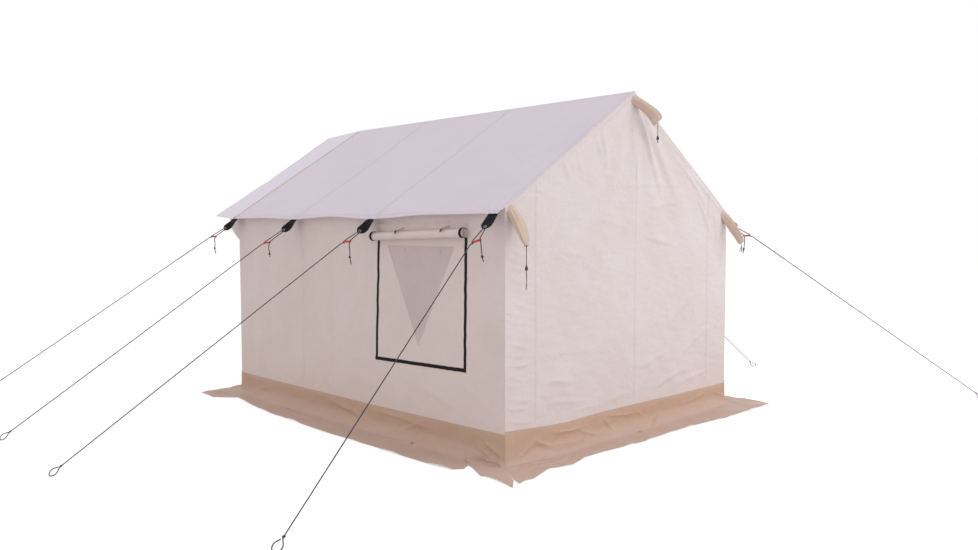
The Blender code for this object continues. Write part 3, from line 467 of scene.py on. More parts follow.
def newGroup(name, inputs, outputs, rule):
    tree, given, out = newTree(name, "ShaderNodeTree", inputs, {label: "Float" for label in outputs})
    made = rule({label: Term(tree, given.outputs[label]) for label in inputs})
    for label in outputs:
        tree.links.new(made[label].socket, out.inputs[label])
    return tree


place, surface = ("Vector", None), ("Height", "Tone")
groups = {
    "cloth": newGroup("clothSurface", {
        "Place": place, "Threads": ("Float", 900.0), "WeaveDepth": ("Float", 0.00008),
        "CreaseDepth": ("Float", 0.0012), "CreaseScale": ("Float", 7.0), "SlubAmount": ("Float", 0.5),
    }, surface, clothRule),
    "ground": newGroup("groundDust", {
        "Rise": ("Float", 0.25), "Amount": ("Float", 0.5),
    }, ("Mask",), groundRule),
    "webbing": newGroup("webbing", {
        "Place": place, "Ribs": ("Float", 500.0), "Depth": ("Float", 0.0002),
    }, surface, webbingRule),
    "braid": newGroup("braid", {
        "Place": place, "Plaits": ("Float", 140.0), "Strands": ("Float", 4.0), "Depth": ("Float", 0.0005),
    }, surface, braidRule),
    "scuffs": newGroup("scuffs", {
        "Scale": ("Float", 60.0), "Stretch": ("Vector", (1.0, 1.0, 1.0)), "Depth": ("Float", 0.0001),
    }, (*surface, "Rough"), scuffRule),
}


# materials
def rgb(*colour):
    return (*(((c / 255 + 0.055) / 1.055) ** 2.4 if c > 10 else c / 255 / 12.92 for c in colour), 1.0)


def mixColours(tree, share, first, second):
    return put(tree, "ShaderNodeMix", {0: share, 6: first, 7: second}, data_type="RGBA").outputs[2]


def makeFinish(name, group, dark, light, sizes, constants, dust=None):
    material = bpy.data.materials.new(name)
    material.use_nodes = True
    tree = material.node_tree
    shader = tree.nodes["Principled BSDF"]
    for socket, value in constants.items():
        shader.inputs[socket].default_value = value
    links = dict(sizes)
    if group != "scuffs":
        links["Place"] = put(tree, "ShaderNodeUVMap", uv_map="cloth").outputs[0]
    pattern = put(tree, "ShaderNodeGroup", links, node_tree=groups[group]).outputs
    colour = mixColours(tree, pattern["Tone"], rgb(*dark), rgb(*light))
    if dust:
        links = {"Rise": dust[0], "Amount": dust[1]}
        ground = put(tree, "ShaderNodeGroup", links, node_tree=groups["ground"])
        colour = mixColours(tree, ground.outputs["Mask"], colour, rgb(*dust[2]))
    tree.links.new(colour, shader.inputs["Base Color"])
    if group == "scuffs":
        tree.links.new(pattern["Rough"], shader.inputs["Roughness"])
    bump = put(tree, "ShaderNodeBump", {"Height": pattern["Height"], "Strength": 1.0, "Distance": 1.0})
    tree.links.new(bump.outputs[0], shader.inputs["Normal"])
    return material


def clothSizes(threads, weave, depth, scale, slubs):
    sizes = {"Threads": threads, "WeaveDepth": weave, "CreaseDepth": depth, "CreaseScale": scale}
    return {**sizes, "SlubAmount": slubs}


def canvasSizes(depth, scale=6.0):
    return clothSizes(820.0, 0.00007, depth, scale, 0.5)


def clothLook(rough=0.9, sheen=0.15, **more):
    return {"Roughness": rough, "Sheen Weight": sheen, "Specular IOR Level": 0.2, **more}


taut, plain = canvasSizes(0.0010, 3.0), clothLook()
thread = ({"Scale": 500.0, "Depth": 0.0001}, {"Sheen Weight": 0.1})
# each finish: name, group, dark and light colour, sizes, constants and, on some, the dust's
# rise, amount and colour
finishes = {
    # the roof and porch copies of the canvas carry a lavender tint that is painted sky light, and the porch
    # copy is lighter, painted for the stronger light it gets
    "roof": ("roofCanvas", "cloth", (224, 216, 226), (235, 228, 238), taut, plain),
    "porch": ("porchCanvas", "cloth", (234, 228, 240), (245, 241, 250), taut, plain),
    # the gables' copy of the canvas is tinted bluer and the side walls' copy warmer: painted light on the lit
    # gables and painted shade on the shaded side walls
    "wall": (
        "wallCanvas", "cloth", (219, 206, 196), (236, 231, 238), canvasSizes(0.0032), plain,
        (0.9, 0.4, (214, 196, 184)),
    ),
    "sideWall": (
        "sideWallCanvas", "cloth", (222, 205, 195), (237, 226, 223), taut, plain,
        (0.5, 0.25, (210, 192, 178)),
    ),
    "seam": ("seamBinding", "cloth", (220, 208, 204), (236, 229, 232), canvasSizes(0.0006, 20.0), plain),
    # the sleeves' darker brown is painted shade; the porch seam band also uses it as a painted shadow at the
    # join
    "sleeve": ("sleeveCanvas", "cloth", (206, 180, 160), (230, 212, 198), canvasSizes(0.0016, 16.0), plain),
    "skirt": (
        "skirtCloth", "cloth", (189, 157, 134), (211, 181, 160),
        clothSizes(1200.0, 0.00003, 0.0030, 7.0, 0.25), clothLook(0.62, 0.05), (0.09, 0.65, (206, 184, 174)),
    ),
    "net": (
        "windowNet", "cloth", (212, 196, 193), (235, 221, 218),
        clothSizes(620.0, 0.0002, 0.0010, 5.0, 0.3), clothLook(Alpha=0.9),
    ),
    "tape": (
        "hookTape", "webbing", (10, 9, 12), (30, 27, 33),
        {"Ribs": 480.0, "Depth": 0.0004}, clothLook(sheen=0.05),
    ),
    "web": (
        "padWebbing", "webbing", (8, 8, 10), (26, 25, 30),
        {"Ribs": 300.0, "Depth": 0.0006}, clothLook(sheen=0.04),
    ),
    "rope": (
        "guyRope", "braid", (30, 28, 32), (96, 92, 98),
        {"Plaits": 130.0, "Strands": 4.0, "Depth": 0.0006}, {"Roughness": 0.75},
    ),
    "cord": (
        "drawcordBraid", "braid", (10, 10, 12), (40, 38, 43),
        {"Plaits": 420.0, "Strands": 3.0, "Depth": 0.0002}, {"Roughness": 0.75},
    ),
    "red": (
        "redPlastic", "scuffs", (190, 44, 48), (222, 78, 76),
        {"Scale": 240.0, "Depth": 0.0002}, {"Coat Weight": 0.15, "Coat Roughness": 0.3},
    ),
    "black": (
        "blackPlastic", "scuffs", (16, 16, 18), (48, 47, 52),
        {"Scale": 260.0, "Depth": 0.0002}, {"Coat Weight": 0.1, "Coat Roughness": 0.35},
    ),
    "steel": (
        "ringSteel", "scuffs", (120, 120, 124), (190, 190, 194),
        {"Scale": 300.0, "Depth": 0.0001}, {"Metallic": 1.0},
    ),
    "pole": (
        "poleMetal", "scuffs", (150, 152, 156), (204, 206, 208),
        {"Scale": 40.0, "Stretch": (1.0, 1.0, 6.0), "Depth": 0.0001}, {"Metallic": 1.0},
    ),
    "roofThread": ("roofThread", "scuffs", (174, 164, 166), (198, 188, 190), *thread),
    # the tabs' light bluish grey stands partly for the highlights on them: a painted highlight
    "tab": ("netTab", "cloth", (182, 178, 190), (200, 197, 208), taut, plain),
    "thread": ("seamThread", "scuffs", (206, 194, 188), (232, 224, 220), *thread),
    "blackThread": ("padThread", "scuffs", (60, 60, 66), (112, 112, 120), *thread),
}
finishes = {key: makeFinish(*row) for key, row in finishes.items()}
print("materials made")

# camera, lights and floor
view = {
    "place": (-4.513, -4.8609, 1.3573),
    "turn": (86.77, 0.07, -44.70),
    "lens": 30.16,
    "fillColour": (1.0, 0.965, 0.98, 1.0),
    "fillStrength": 0.785,
    "keyPlace": (4.5, -8.5, 5.5),
    "keyAim": (0.3, -1.0, 1.0),
    "keySize": 6.0,
    "keyPower": 250.0,
    "keyColour": (1.0, 0.98, 1.0),
    "floorSize": 60.0,
    "floorColour": (0.80, 0.80, 0.81, 1.0),
    "floorGlow": 0.50,
}
white = (1.0, 1.0, 1.0, 1.0)


# 1 on the rays that show a surface to the camera, straight, mirrored or through another.
def seenRays(tree):
    path = put(tree, "ShaderNodeLightPath").outputs
    seen = (Term(tree, path["Is Camera Ray"]) + path["Is Glossy Ray"]).clamped()
    return (seen + path["Is Transmission Ray"]).clamped()


def buildStudio():
    lens = bpy.data.cameras.new("camera")
    lens.lens, lens.clip_end = view["lens"], 200
    camera = newObject("camera", lens)
    camera.location = view["place"]
    camera.rotation_euler = [math.radians(angle) for angle in view["turn"]]
    bpy.context.scene.camera = camera
    key = bpy.data.lights.new("key", "AREA")
    key.shape, key.size, key.energy, key.color = "DISK", view["keySize"], view["keyPower"], view["keyColour"]
    lamp = newObject("key", key)
    lamp.location = view["keyPlace"]
    aim = Vector(view["keyPlace"]) - Vector(view["keyAim"])
    lamp.rotation_euler = aim.to_track_quat("Z", "Y").to_euler()

    world = bpy.data.worlds.new("studio")
    world.use_nodes = True
    tree = world.node_tree
    tree.nodes.clear()
    fill = put(tree, "ShaderNodeBackground", {"Color": view["fillColour"], "Strength": view["fillStrength"]})
    shown = put(tree, "ShaderNodeBackground", {"Color": white, "Strength": 1.0})
    mix = put(tree, "ShaderNodeMixShader", {0: seenRays(tree), 1: fill.outputs[0], 2: shown.outputs[0]})
    put(tree, "ShaderNodeOutputWorld", {0: mix.outputs[0]})
    bpy.context.scene.world = world

    half = view["floorSize"] / 2
    corners = [(-half, -half, 0), (half, -half, 0), (half, half, 0), (-half, half, 0)]
    floor = newObject("floor", newMesh("floor", corners, [(0, 1, 2, 3)]))
    material = bpy.data.materials.new("paleFloor")
    material.use_nodes = True
    tree = material.node_tree
    tree.nodes.clear()
    matt = put(tree, "ShaderNodeBsdfDiffuse", {"Color": view["floorColour"]})
    glow = put(tree, "ShaderNodeEmission", {"Color": white, "Strength": seenRays(tree) * view["floorGlow"]})
    both = put(tree, "ShaderNodeAddShader", {0: matt.outputs[0], 1: glow.outputs[0]})
    put(tree, "ShaderNodeOutputMaterial", {0: both.outputs[0]})
    floor.data.materials.append(material)


buildStudio()
bpy.context.scene.view_settings.view_transform = "Standard"
print("camera and lights set")


# threads and rings, set along lines and on points by Geometry Nodes
def geometryTree(name, inputs):
    inputs = {"Geometry": ("Geometry", None), **inputs, "Finish": ("Material", None)}
    tree, given, out = newTree(name, "GeometryNodeTree", inputs, {"Geometry": "Geometry"})
    return tree, given.outputs, out


def facingAlong(tree, vector):
    return put(tree, "FunctionNodeAlignRotationToVector", {"Vector": vector}, axis="Z").outputs[0]


def finishTree(tree, placed, given, out):
    real = put(tree, "GeometryNodeRealizeInstances", {0: placed.outputs[0]})
    done = put(tree, "GeometryNodeSetMaterial", {"Geometry": real.outputs[0], "Material": given["Finish"]})
    tree.links.new(done.outputs[0], out.inputs[0])
    return tree


def makeStitchTree():
    tree, given, out = geometryTree("stitchRows", {
        "Pitch": ("Float", 0.006), "Length": ("Float", 0.0042), "Radius": ("Float", 0.0005),
        "Wobble": ("Float", 0.12), "Seed": ("Int", 3),
    })
    line = put(tree, "GeometryNodeMeshToCurve", {"Mesh": given["Geometry"]})
    spacing = {"Curve": line.outputs[0], "Length": given["Pitch"]}
    spaced = put(tree, "GeometryNodeResampleCurve", spacing, mode="LENGTH")
    turn = facingAlong(tree, put(tree, "GeometryNodeInputTangent").outputs[0])
    size = {"Vertices": 5, "Radius": given["Radius"], "Depth": given["Length"]}
    thread = put(tree, "GeometryNodeMeshCylinder", size)
    shortest = 1.0 - Term(tree, given["Wobble"])
    bounds = {"Seed": given["Seed"], 2: shortest, 3: 1.0}
    draw = put(tree, "FunctionNodeRandomValue", bounds, data_type="FLOAT")
    links = {"Points": spaced.outputs[0], "Instance": thread.outputs[0], "Rotation": turn}
    links["Scale"] = draw.outputs[1]
    return finishTree(tree, put(tree, "GeometryNodeInstanceOnPoints", links), given, out)


# Each ring's point carries the way it faces.
def makeRingTree():
    tree, given, out = geometryTree("ringSet", {
        "Radius": ("Float", 0.008), "Wire": ("Float", 0.0022), "Sides": ("Int", 8), "Seed": ("Int", 5),
    })
    facing = put(tree, "GeometryNodeInputNamedAttribute", {"Name": "facing"}, data_type="FLOAT_VECTOR")
    hoop = put(tree, "GeometryNodeCurvePrimitiveCircle", {"Resolution": 20, "Radius": given["Radius"]})
    section = {"Resolution": given["Sides"], "Radius": given["Wire"]}
    wire = put(tree, "GeometryNodeCurvePrimitiveCircle", section)
    ring = put(tree, "GeometryNodeCurveToMesh", {"Curve": hoop.outputs[0], "Profile Curve": wire.outputs[0]})
    spin = put(tree, "FunctionNodeRandomValue", {"Seed": given["Seed"], 3: 2 * math.pi}, data_type="FLOAT")
    spun = put(tree, "FunctionNodeAxisAngleToRotation", {"Axis": (0, 0, 1), "Angle": spin.outputs[1]})
    turns = {0: facingAlong(tree, facing.outputs[0]), 1: spun.outputs[0]}
    turn = put(tree, "FunctionNodeRotateRotation", turns, rotation_space="LOCAL")
    links = {"Points": given["Geometry"], "Instance": ring.outputs[0], "Rotation": turn.outputs[0]}
    return finishTree(tree, put(tree, "GeometryNodeInstanceOnPoints", links), given, out)


stitchTree, ringTree = makeStitchTree(), makeRingTree()


def grown(name, mesh, tree, values):
    holder = newObject(name, mesh)
    grow = holder.modifiers.new("grow", "NODES")
    grow.node_group = tree
    for item in tree.interface.items_tree:
        if item.in_out == "INPUT" and item.name in values:
            grow[item.identifier] = values[item.name]
    return smoothed(evaluated(holder))


# pitch, length and radius of the stitches on each kind of work
stitchSizes = {
    "pad": (0.0045, 0.0034, 0.0005),
    "tape": (0.006, 0.0042, 0.0004),
    "edge": (0.007, 0.005, 0.0005),
    "seam": (0.008, 0.0056, 0.00055),
    "roof": (0.008, 0.0064, 0.0008),
}


def addStitches(name, lines, work, seed, finish="thread", body="tent"):
    edges, start = [], 0
    for line in lines:
        edges += [(start + step, start + step + 1) for step in range(len(line) - 1)]
        start += len(line)
    mesh = newMesh(name, np.concatenate(lines), (), edges)
    pitch, length, radius = stitchSizes[work]
    values = {"Pitch": pitch, "Length": length, "Radius": radius, "Seed": seed, "Finish": finishes[finish]}
    addPiece(name, grown(name, mesh, stitchTree, values), finish, None, body)


def addRings(name, places, facings, radius, wire, seed=5):
    mesh = newMesh(name, places)
    layer = mesh.attributes.new("facing", "FLOAT_VECTOR", "POINT")
    layer.data.foreach_set("vector", np.asarray(facings, np.float32).ravel())
    values = {"Radius": radius, "Wire": wire, "Seed": seed, "Finish": finishes["steel"]}
    addPiece(name, grown(name, mesh, ringTree, values), "steel")


# guy lines: pad, grommet, rope, slider and knots
guys = {
    # side, share of the room's length, stake, the hem's dip, the pad's twist in degrees, the
    # slider's distance and the tail's length
    "places": {
        "rear_left": (-1, -0.4870, (1.52, -0.240), 0.0, 10, 0.112, 0.117),
        "second_left": (-1, -0.1148, (1.875, 0.45), 0.020, -12, 0.110, 0.143),
        "third_left": (-1, 0.1934, (1.85, 0.575), 0.014, -10, 0.150, 0.105),
        "front_left": (-1, 0.4870, (1.85, 0.85), 0.0, -10, 0.112, 0.130),
        "rear_right": (1, -0.4870, (1.50, -1.45), 0.0, 0, 0.112, 0.130),
        "second_right": (1, -0.1148, (1.68, -0.53), 0.020, 0, 0.112, 0.128),
        "third_right": (1, 0.1934, (1.85, 0.09), 0.014, 0, 0.112, 0.135),
        "front_right": (1, 0.4870, (1.75, 0.42), 0.0, 0, 0.112, 0.125),
    },
    "padRoot": 0.020,
    "padLength": 0.108,
    "padWidth": 0.074,
    "padThick": 0.004,
    "padShoulder": 0.0594,
    "padTip": 0.017,
    "roll": math.radians(-16),
    "grommetRadius": 0.0088,
    "grommetWire": 0.0022,
    "ropeRadius": 0.003,
    "ropeSeat": 0.002,
    "ropeBend": 0.0068,
    "sliderPitch": 0.022,
    "sliderWidth": 0.016,
    "sliderThick": 0.0065,
    "sliderHole": 0.0036,
    "sliderTilt": math.radians(38),
    "tailBend": 0.012,
    "tailSway": 0.0045,
    "tailKnotShare": 0.66,
    "stakeLoop": 0.026,
    "stakeNeck": 0.046,
    "knotShare": 2.1,
    "knotSize": 0.0021,
}
grommetAt = guys["padLength"] - guys["padTip"]
ropeSeat = grommetAt + guys["ropeSeat"] + guys["ropeBend"]
tilted = Vector((math.cos(guys["sliderTilt"]), 0, math.sin(guys["sliderTilt"])))
through = Vector((-math.sin(guys["sliderTilt"]), 0, math.cos(guys["sliderTilt"])))


# How far a pad's frame is lowered so that its sides stay under the hem.
def padDrop(base, dip):
    drop, half, thin = 0.0, guys["padWidth"] / 2, guys["padThick"] / 2
    for x, thick in ((-half, -thin), (-half, thin), (half, -thin), (half, thin)):
        root = base @ Vector((x, thick, -guys["padRoot"]))
        outer = base @ Vector((x, thick, guys["padShoulder"]))
        share = max((eaveX - abs(root.x)) / (abs(outer.x) - abs(root.x)), 0.0)
        for point in (root, root.lerp(outer, share)):
            over = min(abs(point.x), eaveX)
            pulled = dip * max(over - halfWidth, 0.0) / tent["eaveReach"]
            drop = max(drop, point.z + gap - (roofTop(over) - canvas - pulled))
    return drop


# The frame of one guy line, as the CAD has it: origin at the eave, Z down the rope, X along
# the hem and rolled a little. Then its pad's frame, twisted a little more, and how much lower
# roll and twist have put the pad.
def guyFrame(name):
    side, share, (out, along), dip, twist = guys["places"][name][:5]
    seat = Vector((side * eaveX, share * tent["roomLength"], roofTop(eaveX) - canvas - dip))
    down = Vector((side * out, along, -seat.z)).normalized()
    hem = Vector((0, -side, 0))
    level = (hem - down * hem.dot(down)).normalized()
    turn = Matrix((level, down.cross(level), down)).transposed().to_4x4()
    unrolled = Matrix.Translation(seat) @ turn
    base = unrolled @ Matrix.Rotation(guys["roll"], 4, "Z")
    padBase = base @ Matrix.Rotation(math.radians(twist), 4, "Z")
    drop = padDrop(padBase, dip)
    lowered = Matrix.Translation((0, 0, -drop))
    return lowered @ base, lowered @ padBase, drop - padDrop(unrolled, dip)


# An arc in the plane of the two axes, from one angle to another off the second axis.
def arc(centre, radius, start, end, count, plane=(0, 2)):
    points = []
    for step in range(count + 1):
        angle = math.radians(start + (end - start) * step / count)
        point = [0.0, 0.0, 0.0]
        point[plane[0]] = centre[0] + radius * math.sin(angle)
        point[plane[1]] = centre[1] + radius * math.cos(angle)
        points.append(tuple(point))
    return points


# Round the grommet's rim and through one end hole of the tilted slider.
def ropeStart(side, sliderAt):
    hole = Vector((0, 0, sliderAt)) + tilted * side * guys["sliderPitch"]
    bend = arc((0.0, ropeSeat), guys["ropeBend"], 180, 270 if side > 0 else 90, 6, (1, 2))
    return bend + [tuple(hole + through * off) for off in (-0.010, -0.005, 0.0, 0.005, 0.010)]


# From the grommet down one face of the pad, through the slider, to the knot and loop.
def standingLine(base, sliderAt):
    radius, side = guys["ropeRadius"], guys["sliderPitch"]
    across, down = base.to_3x3().col[0].z, base.to_3x3().col[2].z
    dip = max(-(side + guys["stakeLoop"]) * across, (guys["stakeLoop"] - side) * across)
    middle = (base.translation.z - radius - gap - dip) / -down - guys["stakeLoop"]
    knot = middle - guys["stakeNeck"]
    bead = radius * guys["knotShare"]
    line = ropeStart(1, sliderAt)
    line += [(side, 0.0, place) for place in np.linspace(line[-1][2] + 0.012, knot - bead, 24)]
    line.append((side, 0.0, knot + bead))
    line += arc((side, middle), guys["stakeLoop"], -140, 140, 18)
    line.append((side + bead, 0.0, knot + 2 * bead))
    return [base @ Vector(point) for point in line], base @ Vector((side, 0, knot))


# From the grommet down the pad's other face, through the slider and down the hanging tail.
def returnLine(base, sway, sliderAt, tailLength):
    line = ropeStart(-1, sliderAt)
    bend, knotShare = guys["tailBend"], guys["tailKnotShare"]
    down = base.to_3x3().inverted() @ Vector((0, 0, -1))
    first = (through + down).normalized()
    elbow = Vector(line[-1]) + (through + first) * bend / 2
    start = elbow + (first + down) * bend / 2
    line.append(tuple(elbow))
    straight = tailLength - 2 * bend
    aside = (Vector((-1, 0, 0)) - down * Vector((-1, 0, 0)).dot(down)).normalized()

    def swing(share):
        return sway * guys["tailSway"] * math.sin(2.2 * math.pi * share)

    for share in np.linspace(0, 1, 22):
        drift = 0.010 * share + 0.026 * max(0.0, share - knotShare) ** 1.2
        beside = Vector((0, swing(share) * min(1.0, 3 * share), 0))
        line.append(tuple(start + down * straight * share + beside + aside * drift))
    knot = start + down * straight * knotShare + aside * 0.010 * knotShare + Vector((0, swing(knotShare), 0))
    return [base @ Vector(point) for point in line], base @ knot


# A rounded overhand knot: a closed trefoil of the rope's own thickness.
def knotMesh(centre, toward, radius, size):
    t = 2 * np.pi * np.arange(40) / 40
    shape = stacked(np.sin(t) + 2 * np.sin(2 * t), np.cos(t) - 2 * np.cos(2 * t), -1.3 * np.sin(3 * t))
    turn = Vector(toward).to_track_quat("X", "Z").to_matrix().to_4x4()
    mesh = tubeMesh("knot", shape * size, radius, 8, closed=True)
    return reworked(mesh, 1e-5, Matrix.Translation(centre) @ turn, 60)


# Three round eyes in a row with a waist between each two.
def sliderOutlines():
    half, reach = guys["sliderWidth"] / 2, guys["sliderPitch"]
    waist, waistHalf, hole = reach / 2, 0.76 * half, guys["sliderHole"]
    end = [(reach + half * math.cos(a), half * math.sin(a)) for a in np.linspace(0, math.pi / 2, 6)]
    dip = [(waist + 0.0014, waistHalf), (waist - 0.0014, waistHalf)]
    middle = [(half * math.cos(a), half * math.sin(a)) for a in np.radians((62, 90, 118))]
    top = end + dip + middle + [(-x, y) for x, y in (end + dip)[::-1]]
    ring = np.linspace(0, 2 * np.pi, 17)[:-1]
    holes = [[(x + hole * math.cos(a), hole * math.sin(a)) for a in ring] for x in (-reach, 0.0, reach)]
    return [top + [(x, -y) for x, y in top[-2:0:-1]], *holes]


def padHalf(z):
    share = np.clip((z - guys["padShoulder"]) / (guys["padLength"] - guys["padShoulder"]), 0, 1)
    return guys["padWidth"] / 2 * np.cos(math.pi / 2 * share**1.6) ** 0.7


# A place on a pad's face. Its sewn root is turned back to lie along the hem.
def padPlace(base, turned, lower, x, z, off):
    x, z = asGrids(x, z)
    share = 1 - ease((z + guys["padRoot"]) / 0.085)
    angle = -turned * share
    puff = 0.0030 * swell((z + 0.01) / 0.1) * np.cos(math.pi / 2 * np.clip(2 * x / guys["padWidth"], -1, 1))
    y = off + puff * (1 if off >= 0 else 0.4)
    local = stacked(x * np.cos(angle) - y * np.sin(angle), x * np.sin(angle) + y * np.cos(angle), z)
    world = local @ np.array(base.to_3x3()).T + np.array(base.translation)
    world[..., 2] += lower * share
    return world


def padMesh(base, turned, lower):
    long, thick = guys["padLength"], guys["padThick"]
    tip = long - np.array([0.002, 0.0008, 0.0001])
    z = np.concatenate([np.linspace(-guys["padRoot"], long - 0.004, 30), tip])
    zz, uu = grid(z, np.linspace(-1, 1, 19))
    xx = uu * padHalf(zz)
    face = np.array(base.to_3x3().col[1])
    rim = 0.0011 * np.abs(uu) ** 12
    points = padPlace(base, turned, lower, xx, zz, thick / 2 - 0.0004) - rim[..., None] * face
    return sheetMesh("pad", points, stacked(xx, zz), face, thick - 0.0006)


# Each face of a pad has two rows along its sides, two across its root and a grommet.
def dressPad(base, turned, lower, stitches, rings, facings):
    z, across = np.linspace(-0.012, guys["padLength"] - 0.012, 40), np.linspace(-0.032, 0.032, 16)
    for face in (-1, 1):
        rings.append(base @ Vector((0, face * (guys["padThick"] / 2 + 0.0004), grommetAt)))
        facings.append(base.to_3x3() @ Vector((0, face, 0)))
        off = face * (guys["padThick"] / 2 + 0.0001)
        for side in (-1, 1):
            stitches.append(padPlace(base, turned, lower, side * (padHalf(z) - 0.004), z, off))
        for height in (0.012, 0.020):
            stitches.append(padPlace(base, turned, lower, across, height, off))


def buildGuys():
    radius, size = guys["ropeRadius"], guys["knotSize"]
    bar = plateMesh("slider", sliderOutlines(), guys["sliderThick"], 0.0012)
    bar.transform(Matrix.Rotation(-guys["sliderTilt"], 4, "Y"))
    stitches, rings, facings = [], [], []
    for number, name in enumerate(guys["places"]):
        base, padBase, lower = guyFrame(name)
        twist, distance, tailLength = guys["places"][name][4:]
        turned, sliderAt = guys["roll"] + math.radians(twist), grommetAt + distance
        addPiece("guyPad_" + name, padMesh(padBase, turned, lower), "web", "guy_pad_" + name)
        dressPad(padBase, turned, lower, stitches, rings, facings)
        line, stakeKnot = standingLine(base, sliderAt)
        knot = knotMesh(stakeKnot, base.to_3x3().col[2], radius, size)
        knot = addPiece("stakeKnot_" + name, knot, "rope")
        rope = addPiece("guyRope_" + name, tubeMesh("rope", line, radius, 10), "rope", "guy_line_" + name)
        declareCord(line)
        tail, tailKnot = returnLine(base, 1 if number % 2 else -1, sliderAt, tailLength)
        slider = "slider_" + name
        end = knotMesh(tailKnot, (0.2, 0.1, -1.0), radius, size)
        end = addPiece("tailKnot_" + name, end, "rope", None, slider)
        strand = tubeMesh("tail", tail, radius, 10)
        strand = addPiece("guyTail_" + name, strand, "rope", "guy_line_" + name, None)
        low, high = base @ Vector((0, 0, grommetAt + 0.02)), base @ Vector((0, 0, sliderAt - 0.028))
        low.y, high.y = low.y + centreY, high.y + centreY
        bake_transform(strand)
        declareCord(tail)
        red = bar.copy()
        red.transform(base @ Matrix.Translation((0, 0, sliderAt)))
        addPiece("guySlider_" + name, red, "red", "guy_slider_" + name, slider)
    addStitches("padStitches", stitches, "pad", 7, "blackThread")
    addRings("padGrommets", rings, facings, guys["grommetRadius"], guys["grommetWire"])


buildGuys()
print("guy lines made")

# roof: two slopes with seams, a hem and pucker at the pads
roof = {
    "sag": 0.012,
    "hemLift": 0.001,
    "seams": (-0.41, 0.55),
    "hemBand": 0.032,
    "proud": 0.0009,
    "porchSeam": 0.013,
    "waves": 0.0032,
    "pucker": 0.0042,
}
leftGuys = [place for place in guys["places"].values() if place[0] < 0]
padPlaces = sorted((share * tent["roomLength"], dip) for _, share, _, dip, *_ in leftGuys)
slopeLong = eaveX / roofCos
bothSides = ((-1, "left"), (1, "right"))
seamRows = (-0.0045, 0.0045)


# The hem is pulled down across each pad, and stands a little up between the pads.
def hemLift(y):
    lift, half = np.zeros_like(y), guys["padWidth"] / 2
    for (low, lowDip), (high, highDip) in zip(padPlaces, padPlaces[1:]):
        share = (y - low - half) / (high - low - 2 * half)
        dip = lowDip * ease(1 - 2 * share) + highDip * ease(2 * share - 1)
        lift = np.where((y > low - half) & (y < high + half), roof["hemLift"] * swell(share) - dip, lift)
    return lift


# A felled seam stands a little proud, with its two folded edges.
def seamProud(place, seams, half=0.007, proud=0.0009):
    total = np.zeros_like(place)
    for seam in seams:
        total = np.maximum(total, proud * (np.abs(place - seam) <= half + 1e-6))
    return total


def roofSurface(side, y, s):
    y, s = asGrids(y, s)
    x = np.maximum(s * roofCos, gap / 2)
    sag = roof["sag"] * swell(y / halfLength % 1.0) * swell(np.minimum(x / halfWidth, 1.0))
    rise = hemLift(y) * np.clip((x - halfWidth) / tent["eaveReach"], 0, 1) ** 1.4
    proud = seamProud(y, roof["seams"]) + roof["proud"] * (s > slopeLong - roof["hemBand"])
    proud = proud + roof["proud"] * (y < -halfLength + 0.02)
    inner = ease(s / 0.25) * ease((slopeLong - s) / 0.25) * ease((halfLength - np.abs(y)) / 0.12)
    waves = roof["waves"] * ripple(y, s, 11 if side < 0 else 12, 7, 0.30, 0.95, 0.0, 0.35) * inner
    drawn = np.zeros_like(y)
    for place, _ in padPlaces:
        off, up = y - place, slopeLong + 0.02 - s
        fan = np.cos(np.arctan2(off, np.maximum(up, 1e-4)) * 9.0)
        drawn = drawn + roof["pucker"] * fan * np.exp(-((np.hypot(off, up) / 0.20) ** 2)) * ease(up / 0.05)
    lift = proud + waves + drawn
    z = tent["ridgeHeight"] - s * roofSin - sag + rise
    return stacked(side * (x + lift * roofSin), y, z + lift * roofCos)


def buildRoof():
    rowsS = gridLines(0.0, slopeLong, 0.018, (slopeLong - roof["hemBand"],), 0.0004)
    y, s = grid(gridLines(-halfLength, halfLength, 0.018, roof["seams"]), rowsS)
    down = np.linspace(0.02, slopeLong - 0.004, 90)
    lengthwise = np.linspace(-halfLength + 0.01, halfLength - 0.01, 170)
    long, slopes = tent["roomLength"], ["roof_left", "roof_right"]
    stitches, bands = [], []
    for side, key in bothSides:
        outward = (side * roofSin, 0, roofCos)
        mesh = sheetMesh("roof", roofSurface(side, y, s), stacked(y, s), outward, canvas)
        flat = (long, round(slopeLong, 3))
        addSheet("roof" + key.title(), mesh, "roof", "roof_" + key)
        for row in [seam + shift for seam in roof["seams"] for shift in seamRows] + [-halfLength + 0.016]:
            stitches.append(roofSurface(side, row, down))
        for up in (0.004, roof["hemBand"] - 0.004):
            stitches.append(roofSurface(side, lengthwise, slopeLong - up))
        # the felled seam between roof and porch shows as a band of its own; its darker sleeve finish paints
        # the shadow at the join
        rows = halfLength - 0.0005 - roof["porchSeam"] * np.linspace(0, 1, 5)
        yy, ss = grid(rows, np.linspace(0.024, slopeLong - 0.001, 100))
        band = roofSurface(side, yy, ss) + np.array(outward) * 0.0022
        bands.append(sheetMesh("band", band, stacked(yy, ss), outward, 0.0016))
    flat = (roof["porchSeam"], round(2 * slopeLong, 3))
    seam = joined("porchSeam", bands)
    addSheet("porchSeam", seam, "sleeve")
    # the cap sewn along the ridge covers the two slopes' top edges
    across = np.array([-0.020, -0.014, -0.007, 0.0, 0.007, 0.014, 0.020])
    yy, aa = grid(gridLines(-halfLength - 0.001, halfLength + 0.001, 0.03), across)
    inner = roofSurface(1, np.clip(yy, -halfLength, halfLength), np.abs(aa))
    height = inner[..., 2] + 0.0010 - 0.0016 * (np.abs(aa) < 0.004)
    cap = stacked(np.sign(aa) * np.abs(aa) * roofCos, yy, height)
    mesh = sheetMesh("ridgeCap", cap, stacked(yy, aa), (0, 0, 1), 0.0012)
    addSheet("ridgeCap", mesh, "roof")
    addStitches("roofStitches", stitches, "roof", 3, "roofThread")


porch = {"ridgeReach": 0.516, "eaveReach": 0.284, "ridgeDrop": 0.030, "eaveLift": 0.026, "hem": 0.022}


